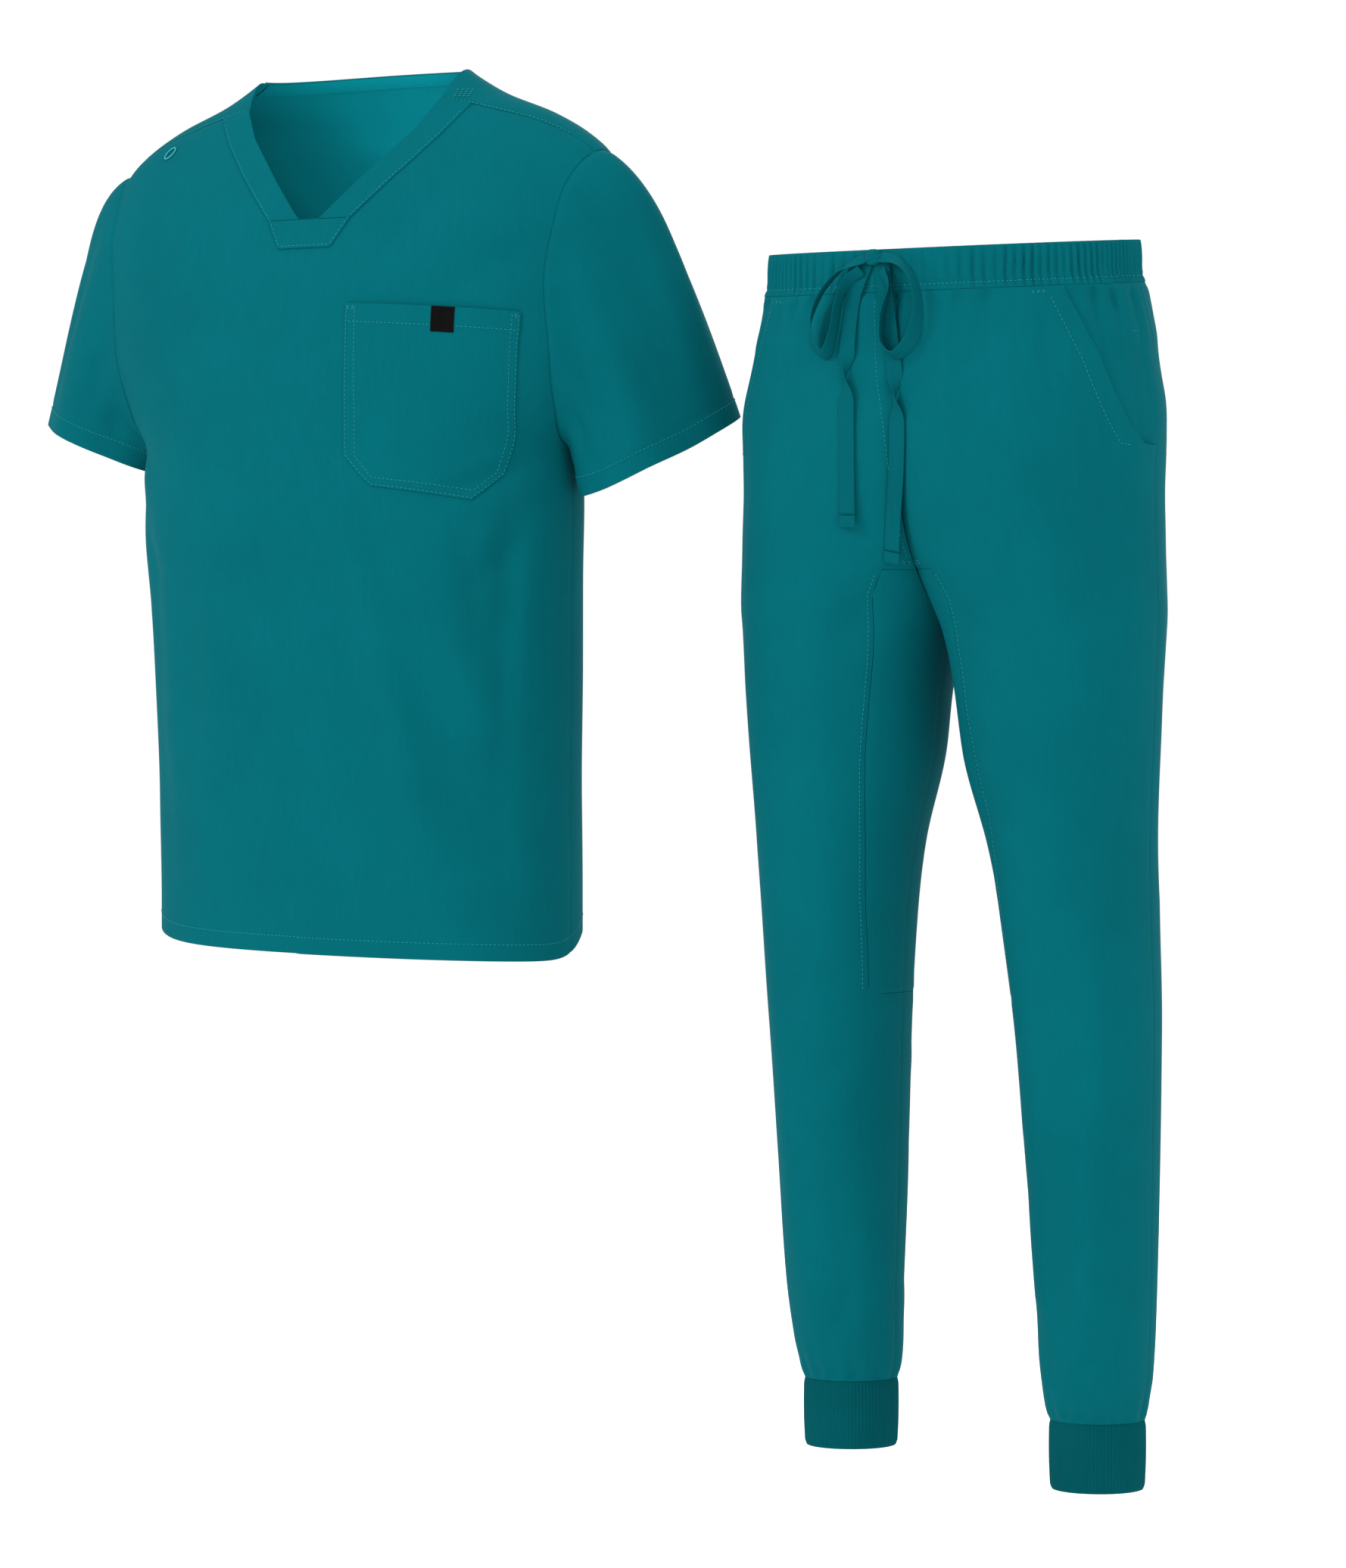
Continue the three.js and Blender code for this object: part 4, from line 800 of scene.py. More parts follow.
@dataclass
class LegForm(Form):
    """One trouser leg up to the waist seam, past the pair's middle, in the pair's own place."""

    side: int
    front_creases: tuple[Crease, ...]
    back_creases: tuple[Crease, ...]
    folds: tuple[Fold, ...] = (
        Fold(0.06, 0.03, 2.0, 0.02, -250, -560), Fold(0.17, 0.025, -2.6, -0.02, -230, -520),
        Fold(0.3, 0.03, -2.4, 0.03, -330, -700), Fold(0.1, 0.035, 2.0, -0.03, -640, -1040),
        Fold(0.42, 0.035, -2.4, 0.03, -600, -980), Fold(0.62, 0.035, -2.0, -0.03, -620, -900),
    )
    pleated: bool = True

    def base(self, angle: Array, level: Array) -> Array:
        """Out plus half times sine, middle minus depth times cosine, with pleats that die away below the waist."""
        sin, cos = np.sin(angle), np.cos(angle)
        below = np.maximum(0, WAIST_SEAM - level)
        height = fold_height(self.folds, angle / (2 * np.pi), level)
        if self.pleated:
            height = height + 2.4 * np.exp(-below / 42) * np.cos(9 * angle) * waist_fade(below)
        depth = np.where(cos > 0, LEG_SECTIONS.at("front", level), LEG_SECTIONS.at("back", level))
        y = LEG_SECTIONS.at("middle", level) - depth * cos - height * cos
        x = LEG_SECTIONS.at("out", level) + LEG_SECTIONS.at("half", level) * sin + height * sin
        z = level + WAIST_TILT * y * np.maximum(0, 1 - below / WAIST_TILT_REACH)
        return np.stack(np.broadcast_arrays(x * self.side, y, z + leg_drop(self.side, z)), -1)

    def outward(self, angle: Array, level: Array) -> Array:
        """Away from the leg's middle line."""
        return np.stack([self.side * np.sin(angle), -np.cos(angle), np.zeros(np.shape(angle))], -1)

    def height(self, at: Array, angle: Array, level: Array) -> Array:
        """Creases by side, fine gathers that hang from the waist, and puckers over the cuff."""
        share = front_share(at[..., 1], LEG_SECTIONS.at("middle", level))
        x, z = np.abs(at[..., 0]), np.asarray(level)
        front = crease_height(self.front_creases, x, z)
        back = crease_height(self.back_creases, x, z)
        below = np.maximum(0, WAIST_SEAM - z)
        uneven = 0.6 + 0.4 * np.sin(5 * angle + 1.3 * self.side)
        phase = 19 * angle + 1.1 * np.sin(3 * angle) + 0.4 * np.sin(11 * angle)
        valleys = np.abs(np.cos(phase)) ** 0.7 - 0.72
        gathers = 7.0 * uneven * np.exp(-below / (16 + 16 * np.abs(np.sin(angle)))) * valleys * waist_fade(below)
        above = np.maximum(0, z - CUFF_TOP)
        puckers = 1.5 * np.exp(-above / 16) * np.cos(15 * angle + 1.4 * np.sin(2 * angle + self.side))
        seam = 1 - np.exp(-((above / 3.0) ** 2))
        return front * share + back * (1 - share) + gathers + puckers * seam

    def front_y(self, x: Array, level: Array) -> Array:
        """Depth of the plain front where it is x from the pair's middle."""
        ratio = (np.abs(x) - LEG_SECTIONS.at("out", level)) / LEG_SECTIONS.at("half", level)
        angle = np.arcsin(np.clip(ratio, -1, 1))
        cos = np.cos(angle)
        high = fold_height(self.folds, angle / (2 * np.pi), level)
        return LEG_SECTIONS.at("middle", level) - (LEG_SECTIONS.at("front", level) + high) * cos

    def angle_at(self, x: Array | float, level: Array | float) -> Array:
        """Angle on the front where the leg is x from the pair's middle."""
        ratio = (np.asarray(x, float) - LEG_SECTIONS.at("out", level)) / LEG_SECTIONS.at("half", level)
        return np.arcsin(np.clip(ratio, -1, 1))


@dataclass
class WaistForm(Form):
    """Waistband: both legs' outer arcs joined, read by turns from the centre front."""

    gathers: int = 122
    gather_height: float = 1.9
    lip: float = 1.9

    def base(self, angle: Array, level: Array) -> Array:
        """Point of the plain band; angle runs from 0 to two pi round the whole waist."""
        turn = np.mod(angle / (2 * np.pi), 1.0)
        left = turn < 0.5
        share = np.where(left, turn * 2, 2 - turn * 2)
        out, half = LEG_SECTIONS.at("out", level), LEG_SECTIONS.at("half", level)
        first = -np.arcsin(out / half)
        a = first + (np.pi - 2 * first) * share
        depth = np.where(np.cos(a) > 0, LEG_SECTIONS.at("front", level), LEG_SECTIONS.at("back", level))
        x = (out + half * np.sin(a)) * np.where(left, 1, -1)
        y = -depth * np.cos(a)
        return np.stack(np.broadcast_arrays(x, y, level + WAIST_TILT * y), -1)

    def outward(self, angle: Array, level: Array) -> Array:
        """Away from the waist's middle."""
        at = self.base(angle, level)
        return at * np.array([1, 1, 0])

    def height(self, at: Array, angle: Array, level: Array) -> Array:
        """Uneven gathers, closer together at the sides; below the seam a lip drops in behind the panels."""
        turn = np.mod(angle / (2 * np.pi), 1.0)
        to_front = np.minimum(turn, 1 - turn)
        t = np.clip((to_front - 0.02) / 0.07, 0, 1)
        flat = 0.42 + 0.58 * t * t * (3 - 2 * t)
        share = (level - WAIST_SEAM) / (WAIST_TOP - WAIST_SEAM)
        slant = 0.5 * np.sin(7 * angle) * share
        phase = self.gathers * angle - 17 * np.sin(2 * angle) + 0.9 * np.sin(9 * angle) + slant * 2
        ridge = np.abs(np.cos(phase / 2)) ** 0.65 - 0.68
        uneven = 0.75 + 0.35 * np.sin(13 * angle + 1) * np.sin(31 * angle)
        bulge = np.sin(np.pi * np.clip(share, 0, 1)) ** 0.6
        stitch = np.exp(-(((level - WAIST_SEAM - 5) / 1.6) ** 2))
        edge = 0.35 + 0.65 * bulge
        plain = 0.9 * bulge + 2 * self.gather_height * ridge * flat * uneven * edge - 1.0 * stitch
        tucked = np.clip((WAIST_SEAM - level) / 0.4, 0, 1)
        return plain * (1 - tucked) - self.lip * tucked


@dataclass
class CuffForm(Form):
    """Ankle cuff: an ellipse a level with a ridge for every rib."""

    side: int
    ribs: int = 84
    rib_height: float = 0.6

    def base(self, angle: Array, level: Array) -> Array:
        """Point of the plain cuff, moved with its leg."""
        half, depth = LEG_SECTIONS.at("half", level), LEG_SECTIONS.at("front", level)
        x = LEG_SECTIONS.at("out", level) + half * np.sin(angle)
        y = LEG_SECTIONS.at("middle", level) - depth * np.cos(angle)
        return np.stack(np.broadcast_arrays(x * self.side, y, level + leg_drop(self.side, level)), -1)

    def outward(self, angle: Array, level: Array) -> Array:
        """Away from the ankle."""
        return np.stack([self.side * np.sin(angle), -np.cos(angle), np.zeros(np.shape(angle))], -1)

    def height(self, at: Array, angle: Array, level: Array) -> Array:
        """Rounded ribs, drawn in at the seam above and turned under at the foot."""
        rib = self.rib_height * (np.abs(np.cos(self.ribs * angle / 2)) ** 0.7)
        top = np.exp(-(((CUFF_TOP - level) / 3.0) ** 2))
        foot = np.exp(-(((level - CUFF_BOTTOM) / 2.0) ** 2))
        belly = 0.8 * np.sin(np.pi * np.clip((CUFF_TOP - level) / (CUFF_TOP - CUFF_BOTTOM), 0, 1))
        return rib * (1 - 0.5 * foot) + belly - 1.0 * top - 0.9 * foot


# ---------------------------------------------------------------- stitches


@dataclass
class Stitching:
    """Collects lines of sewing and lays one small stitch after another along them."""

    pitch: float = 3.7
    length: float = 2.1
    width: float = 0.62
    height: float = 0.36
    lines: list[tuple[Array, Array]] = field(default_factory=list)

    def add(self, points: Array, normals: Array, shift: float = 0.0) -> None:
        """Adds a line of sewing along points in millimetres, on cloth that faces along the normals."""
        self.lines.append((points + np.array([shift, 0, 0]), normals))

    def _stitches(self) -> tuple[Array, Array, Array]:
        """Middles, directions and outward directions of all the stitches."""
        middles, along, out = [], [], []
        for points, normals in self.lines:
            far = np.concatenate([[0], np.cumsum(np.linalg.norm(np.diff(points, axis=0), axis=1))])
            count = max(1, int(far[-1] / self.pitch))
            at = (np.arange(count) + 0.5) * far[-1] / count

            def read(data: Array, place: Array) -> Array:
                """Reads the line's data at distances along it."""
                return np.stack([np.interp(place, far, data[:, i]) for i in range(3)], -1)

            middles.append(read(points, at))
            along.append(unit(read(points, at + self.length / 2) - read(points, at - self.length / 2)))
            out.append(unit(read(normals, at)))
        return np.concatenate(middles), np.concatenate(along), np.concatenate(out)

    def build(self, name: str, finish: bpy.types.Material, slot: Slot) -> bpy.types.Object:
        """One mesh of all the stitches: a six-ring bead, flat underneath, turned to lie along its line.

        Args:
            name: Name of the piece.
            finish: Thread's material.
            slot: Record's slot; not used.

        Returns:
            The piece.
        """
        middles, along, out = self._stitches()
        across = unit(np.cross(out, along))
        out = np.cross(along, across)
        share = np.array([-0.5, -0.32, 0.32, 0.5])
        thick = np.array([0.35, 1.0, 1.0, 0.35])
        ring = np.array([[-0.5, 0.0], [-0.3, 0.9], [0.3, 0.9], [0.5, 0.0], [0.0, -0.5]])
        template = np.array([
            [s * self.length, r[0] * k * self.width, r[1] * k * self.height]
            for s, k in zip(share, thick) for r in ring
        ])
        sides = len(ring)
        faces = []
        for i in range(len(share) - 1):
            for j in range(sides):
                a, b = i * sides + j, i * sides + (j + 1) % sides
                faces += [(a, b, b + sides), (a, b + sides, a + sides)]
        last = (len(share) - 1) * sides
        for j in range(1, sides - 1):
            faces += [(0, j + 1, j), (last, last + j, last + j + 1)]
        n = len(template)
        axes = np.stack([along, across, out], 1)
        points = middles[:, None, :] + np.einsum("kc,mcd->mkd", template, axes)
        index = np.array(faces)[None] + (np.arange(len(middles)) * n)[:, None, None]
        centre = points.mean(1, keepdims=True)
        a, b, c = (points[0][np.array(faces)[:, i]] for i in range(3))
        if float((np.cross(b - a, c - a) * (a - centre[0])).sum()) < 0:
            index = index[..., ::-1]
        piece = make_mesh(name, points.reshape(-1, 3), index.reshape(-1, 3))
        return settle(piece, finish, slot)


def settle(piece: bpy.types.Object, finish: bpy.types.Material, slot: Slot, *nodes: str) -> bpy.types.Object:
    """Dresses a piece, lets it stand for its solids and ride on the root.

    Args:
        piece: The piece.
        finish: Its material.
        slot: The record's slot; not used.
        nodes: The solids that it stands for.

    Returns:
        The piece.
    """
    piece.data.materials.append(finish)
    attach(piece, "root")
    if nodes:
        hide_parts(*nodes)
    LOG.info("%s: %d faces", piece.name, len(piece.data.polygons))
    return piece


def cloth_piece(
    name: str, node: str, patch: Patch, thickness: float, finish: bpy.types.Material, slot: Slot,
    shift: float = 0.0,
) -> bpy.types.Object:
    """Makes one cut of cloth from a patch, with its wall, finish and declared flat size.

    Args:
        name: Name of the piece.
        node: Solid that it stands for.
        patch: Its outer face.
        thickness: Thickness of its wall in millimetres.
        finish: Its material.
        slot: The record's slot; not used.
        shift: Distance to move the piece along X.

    Returns:
        The piece.
    """
    piece = make_mesh(name, patch.points + np.array([shift, 0, 0]), patch.faces, patch.uv)
    give_wall(piece, thickness)
    settle(piece, finish, slot, node)
    LOG.info("%s: one face measures %.4f square metres", name, patch.area())
    return piece


# ---------------------------------------------------------------- the top


@dataclass
class ScrubTop:
    """V-neck top: two panels, two sleeves, neck bands, chest pocket, tab and shoulder loop."""

    finishes: Finishes
    sewing: Stitching
    form: TorsoForm = field(default_factory=TorsoForm)
    cut: TopCut = field(default_factory=TopCut)
    cloth: float = 1.0
    seam_width: float = 2.4
    seam_depth: float = 0.5
    flat_radius: float = 165.0
    hem_width: float = 14.0
    sleeve_hem_width: float = 16.0
    sleeve_areas: tuple[float, ...] = (0.0610, 0.0530)
    sleeves: tuple[SleeveForm, ...] = (
        SleeveForm(
            1, (277, 22, -333), (63, 14, 28), (-3, -51, -20), (0.87, 0.45, -0.34), 0.8, (0.32, 0.08, -0.94), 1.0,
            (
                Crease(30, 8, 24, 88, 2.4, -2.4, 1.0), Crease(40, 6, 34, 70, 2.0, -2.4, -1.0),
                Crease(18, 20, 14, 92, 2.6, -1.8, 0.8), Crease(8, 14, 6, 84, 3.0, 1.5, -1.0),
                Crease(-40, 8, -33, 78, 2.2, -2.4, 1.0), Crease(-26, 16, -20, 90, 2.6, -2.0, -1.0),
                Crease(46, 4, 44, 60, 1.8, 1.8, 0.5), Crease(-8, 26, -4, 92, 3.0, -1.4, 0.8),
            ),
        ),
        SleeveForm(
            -1, (273, 16, -314), (62, 8, 25), (3, -52, 2), (0.93, 0.45, -0.22), 0.66, (0.3, 0.04, -0.95), 3.0,
            (
                Crease(28, 10, 24, 86, 2.4, -2.0, 1.0), Crease(40, 6, 33, 74, 2.0, -2.2, -1.0),
                Crease(14, 16, 11, 90, 2.8, -1.6, -0.8), Crease(-38, 8, -31, 80, 2.2, -2.4, 1.0),
                Crease(-22, 14, -18, 88, 2.6, -1.8, 1.0), Crease(-6, 24, -4, 90, 3.0, 1.4, -0.8),
            ),
        ),
    )
    pocket_rows: Table = field(default_factory=lambda: Table(
        "z inner outer drop",
        [
            (-205, 48, 195, 10), (-221, 48, 194, 10), (-262, 50, 190, 12), (-300, 52, 185, 14),
            (-333, 54, 179, 16), (-347, 66, 168, 14), (-359, 78, 157, 12),
        ],
    ))
    pocket_lift: float = 1.6
    pocket_hem_lift: float = 0.6
    pocket_hem_foot: float = -222.0

    def build(self) -> None:
        """Builds all the pieces of the top and sews their lines."""
        self._panels()
        self._bands()
        self._binding()
        self._sleeves()
        self._pocket()
        self._loop()
        self._sew()

    def _panels(self) -> None:
        """Front and back panels: the body's face, cut along its seams, pressed in at each seam."""
        wide, deep = self.seam_width, self.seam_depth
        angle, level = self.form.grid(-1.62, 1.62, 150, 188)
        front = self.form.patch(angle, level, (angle * self.flat_radius, level))
        front = front.clip(self.cut.front).clip(self.cut.armhole).clip(self.cut.band_edge)
        for line, share in ((self.cut.front, 1.0), (self.cut.armhole, 0.3), (self.cut.band_edge, 1.0)):
            front.press(line, wide, deep * share)
        cloth_piece(
            "front_panel", "top_front", front, self.cloth, self.finishes.poplin, Slot.POPLIN,
        )
        angle, level = self.form.grid(0.6, 2 * np.pi - 0.6, 236, 188)
        back = self.form.patch(angle, level, (angle * self.flat_radius, level))
        back = back.clip(self.cut.back).clip(self.cut.armhole).clip(self.cut.neck)
        for line, share in ((self.cut.back, 1.0), (self.cut.armhole, 0.3)):
            back.press(line, wide, deep * share)
        cloth_piece(
            "back_panel", "top_back", back, self.cloth, self.finishes.poplin, Slot.POPLIN,
        )

    def _bands(self) -> None:
        """Neck bands and the insert at their foot: the same face, standing a little proud."""
        cut = self.cut
        angle, level = self.form.grid(-1.3, 1.3, 150, 84, low=-164)
        face = self.form.patch(angle, level, (angle * self.flat_radius, level), lift=0.6)
        band = face.clip(cut.front).clip(lambda p: -cut.band_edge(p) - 0.3)
        for word, side in (("left", 1), ("right", -1)):
            piece = band.clip(cut.neck).clip(lambda p: p[:, 2] - NECK_FOOT - 0.3).clip(lambda p: side * p[:, 0])
            piece.press(lambda p: p[:, 2] - NECK_FOOT - 0.3, 1.5, 0.5)
            cloth_piece(
                f"neck_band_{word}_cloth", f"neck_band_{word}", piece, self.cloth, self.finishes.poplin, Slot.POPLIN,
            )
        foot = band.clip(lambda p: NECK_FOOT - 0.3 - p[:, 2])
        cloth_piece(
            "neck_band_insert", "neck_band_foot", foot, self.cloth, self.finishes.poplin, Slot.POPLIN,
        )

    def _binding(self) -> None:
        """Narrow strip inside the back neck edge."""
        angle = np.linspace(np.pi - 1.476, np.pi + 1.476, 120)[None, :].repeat(8, 0)
        row = np.linspace(0, 1, 8)[:, None]
        level = self.form.neck_rise(angle) - 0.6 - 9 * row
        lift = -1.35 - 0.5 * np.sin(np.pi * row)
        strip = self.form.patch(angle, level, (angle * 80, level), lift=lift + 0 * angle)
        cloth_piece(
            "back_neck_strip", "back_neck_binding", strip, 0.7, self.finishes.binding, Slot.BINDING,
        )

    def _sleeves(self) -> None:
        """Sleeves: tubes with a turned hem, whose seam allowance lies inside the armhole."""
        share = np.concatenate([[-0.02, -0.012, -0.005], np.linspace(0, 1, 84)])[:, None]
        angle = np.linspace(-np.pi, np.pi, 132)[None, :].repeat(len(share), 0)
        level = share + 0 * angle
        for form, area in zip(self.sleeves, self.sleeve_areas):
            word = "left" if form.side > 0 else "right"
            root = -1.05 * np.exp(-((np.maximum(level, 0) / 0.014) ** 2))
            hem = -0.5 * np.exp(-(((level - 0.925) / 0.01) ** 2))
            tube = form.patch(angle, level, (angle * 58, level * 220), lift=root + hem)
            cloth_piece(
                f"sleeve_{word}_cloth", f"sleeve_{word}", tube, self.cloth, self.finishes.poplin, Slot.POPLIN,
            )
            turn = np.linspace(-np.pi, np.pi, 140)
            length = np.linalg.norm(form.base(turn, turn * 0 + 1) - form.base(turn, turn * 0), axis=1)
            _, points, normals = form.face(turn, 1 - self.sleeve_hem_width / (1.06 * length), 0.05)
            self.sewing.add(points, normals)

    def pocket_at(self, share: Array, level: Array, lift: float = 0.0) -> tuple[Array, Array, Array, Array]:
        """Face of the pocket: across it by share, down it by level, resting on the front.

        Args:
            share: Places across the pocket, from its inner edge to its outer one.
            level: Levels of the inner edge.
            lift: Further distance out.

        Returns:
            Angles, levels, and how far the cloth stands out at each.
        """
        inner, outer, drop = (straight(self.pocket_rows, name, level) for name in ("inner", "outer", "drop"))
        first = self.form.angle_at(inner, level)
        last = self.form.angle_at(outer, level - drop)
        hem = self.pocket_hem_lift / (1 + np.exp(-(level - self.pocket_hem_foot) / 0.8))
        gape = 1.6 * np.sin(np.pi * share) * np.exp(-(((level + 205) / 16) ** 2))
        return first + (last - first) * share, level - drop * share, self.pocket_lift + hem + gape + lift, inner

    def _pocket(self) -> None:
        """Chest pocket with its turned hem, its two rows of topstitching, and the tab on the hem."""
        share, level = np.meshgrid(np.linspace(0, 1, 74), np.linspace(-205, -359, 84))
        angle, at, out, _ = self.pocket_at(share, level)
        edge = np.minimum(np.minimum(share, 1 - share) * 140, level + 359)
        out = out - 0.6 * np.exp(-((edge / 1.6) ** 2))
        patch = self.form.patch(angle, at, (share * 147, level), lift=out)
        cloth_piece(
            "chest_pocket_cloth", "chest_pocket", patch, 1.0, self.finishes.poplin, Slot.POPLIN,
        )
        for inset in (1.8, 8.2):
            down = np.linspace(-207, -359 + inset, 70)
            width = straight(self.pocket_rows, "outer", down) - straight(self.pocket_rows, "inner", down)
            near = inset / width
            across = np.linspace(near[-1], 1 - near[-1], 40)
            share = np.concatenate([near, across, 1 - near[::-1]])
            level = np.concatenate([down, np.full(40, down[-1]), down[::-1]])
            self._sew_pocket(share, level)
        self._sew_pocket(np.linspace(0.02, 0.98, 60), np.full(60, -220.6))
        for middle in (0.03, 0.97):
            for row in (-207.5, -208.7, -209.9):
                self._sew_pocket(np.linspace(middle - 0.027, middle + 0.027, 8), np.full(8, row))
        tab_share, tab_level = np.meshgrid(np.linspace(0.47, 0.60, 14), np.linspace(-205, -226, 14))
        angle, at, out, _ = self.pocket_at(tab_share, tab_level, 0.45)
        tab = self.form.patch(angle, at, (tab_share * 147, tab_level), lift=out + 0.2)
        cloth_piece(
            "bare_label_tab", "pocket_tab", tab, 0.5, self.finishes.label, Slot.LABEL,
        )

    def _sew_pocket(self, share: Array, level: Array) -> None:
        """Adds a line of sewing on the pocket."""
        angle, at, out, _ = self.pocket_at(share, level, 0.1)
        _, points, normals = self.form.face(angle, at, out)
        self.sewing.add(points, normals)

    def _loop(self) -> None:
        """Small loop of fine braided cord, sewn flat at the wearer's right shoulder seam."""
        _, middle, normal = (a[0] for a in self.form.face(np.array([-0.92]), np.array([-62.0]), 0.9))
        lower = self.form.face(np.array([-0.92]), np.array([-66.0]), 0.9)[1][0]
        down = unit(lower - middle)
        across = unit(np.cross(normal, down))
        turn = np.linspace(0, 2 * np.pi, 64, endpoint=False)[:, None]
        round_cord = np.linspace(0, 2 * np.pi, 10, endpoint=False)[None, :]
        wide, high, cord = 4.2, 6.4, 0.8 + 0.08 * np.cos(24 * turn + 2 * round_cord)
        ring = (wide * np.cos(turn))[..., None] * across + (high * np.sin(turn))[..., None] * down
        away = unit((np.cos(turn) / wide)[..., None] * across + (np.sin(turn) / high)[..., None] * down)
        points = middle + ring + (cord * np.cos(round_cord))[..., None] * away
        points = points + (cord * np.sin(round_cord))[..., None] * normal
        piece = make_mesh("shoulder_loop_cord", points.reshape(-1, 3), torus_faces(64, 10, points, middle + ring))
        settle(piece, self.finishes.loop, Slot.LOOP, "shoulder_loop")

    def _shoulder_line(self, side: int) -> tuple[Array, Array]:
        """Angles and levels of the shoulder seam, found where the face reaches the seam's depth."""
        x = np.linspace(104, 214, 60)
        levels = np.linspace(-2, -110, 220)[:, None]
        angle = self.form.angle_at(x[None, :], levels)
        y = self.form.base(angle, levels + 0 * angle)[..., 1]
        reached = (y < straight(SHOULDER_SEAM, "y", x)) & (TOP_SECTIONS.at("half", levels) > x)
        z = levels[reached.argmax(0), 0]
        return side * self.form.angle_at(x, z), z

    def _sew(self) -> None:
        """Topstitching of the hem, the neck bands and the shoulder seams."""
        form = self.form
        angle = np.linspace(-np.pi, np.pi, 400)
        self.sewing.add(*form.face(angle, form.hem_level(angle) + self.hem_width, 0.05)[1:])
        for side in (1, -1):
            z = np.linspace(-40, -130, 60)
            x = side * (straight(BAND_EDGE, "x", z) - 2.4)
            self.sewing.add(*form.face(form.angle_at(x, z), z, 0.7)[1:])
            z = np.linspace(-130, -153.6, 20)
            x = side * (BAND_HEAD_HALF - 2.4 + (BAND_FOOT_HALF - BAND_HEAD_HALF) * (NECK_FOOT - z) / 25)
            self.sewing.add(*form.face(form.angle_at(x, z), z, 0.7)[1:])
            angle, z = self._shoulder_line(side)
            self.sewing.add(*form.face(angle, z + 1.6, 0.1)[1:])
        for row in (-21.0, -23.0, -25.0, -27.0):
            x = np.linspace(106, 121, 12)
            z = np.full(12, row)
            self.sewing.add(*form.face(form.angle_at(x, z), z, 0.72)[1:])
        x = np.linspace(-24, 24, 30)
        z = np.full(30, -153.6)
        self.sewing.add(*form.face(form.angle_at(x, z), z, 0.7)[1:])


def torus_faces(rows: int, columns: int, points: Array, centres: Array) -> Array:
    """Triangles of a grid closed both ways, facing away from its middle line."""
    r, c = np.meshgrid(np.arange(rows), np.arange(columns), indexing="ij")
    down, right = (r + 1) % rows, (c + 1) % columns
    quads = np.stack([r * columns + c, down * columns + c, down * columns + right, r * columns + right], -1)
    quads = quads.reshape(-1, 4)
    faces = np.concatenate([quads[:, [0, 1, 2]], quads[:, [0, 2, 3]]])
    flat = points.reshape(-1, 3)
    middle = np.broadcast_to(centres, points.shape).reshape(-1, 3)
    a, b, d = (flat[faces[:, i]] for i in range(3))
    out = a - middle[faces[:, 0]]
    return faces if float((np.cross(b - a, d - a) * out).sum()) > 0 else faces[:, ::-1]


# ---------------------------------------------------------------- the trousers


@dataclass
class LegCut:
    """Seam lines of one trouser leg as fields, positive on the side that a panel keeps."""

    side: int

    def middle(self, p: Array) -> Array:
        """On this leg's side of the pair's middle."""
        return self.side * p[:, 0] - SEAM_HALF_GAP

    def front(self, p: Array) -> Array:
        """In front of the seams along the leg's sides."""
        return LEG_SECTIONS.at("middle", p[:, 2]) - p[:, 1] - SEAM_HALF_GAP

    def back(self, p: Array) -> Array:
        """Behind the same seams."""
        return -self.front(p) - 2 * SEAM_HALF_GAP

    def outside_inner(self, p: Array) -> Array:
        """Outside the inner thigh panel."""
        beside = np.abs(p[:, 0]) - straight(INNER_PANEL, "x", p[:, 2])
        return np.maximum(beside, np.maximum(p[:, 2] - PANEL_TOP, PANEL_FOOT - p[:, 2]))

    def inner(self, p: Array) -> Array:
        """Inside it."""
        return -self.outside_inner(p) - 0.3

    def before_mouth(self, p: Array) -> Array:
        """On the front panel's side of the slanted pocket mouth."""
        return np.maximum(straight(POCKET_MOUTH, "x", p[:, 2]) - np.abs(p[:, 0]), -352 - p[:, 2])

    def facing(self, p: Array) -> Array:
        """On the pocket facing's side of it."""
        return -self.before_mouth(p) - 0.3

    def welt(self, p: Array) -> Array:
        """Sideways distance from the seam that joins the facing to its yoke."""
        return np.abs(p[:, 0]) - np.interp(p[:, 2], [-338, -275, -236, -208], [178, 173, 165, 152])


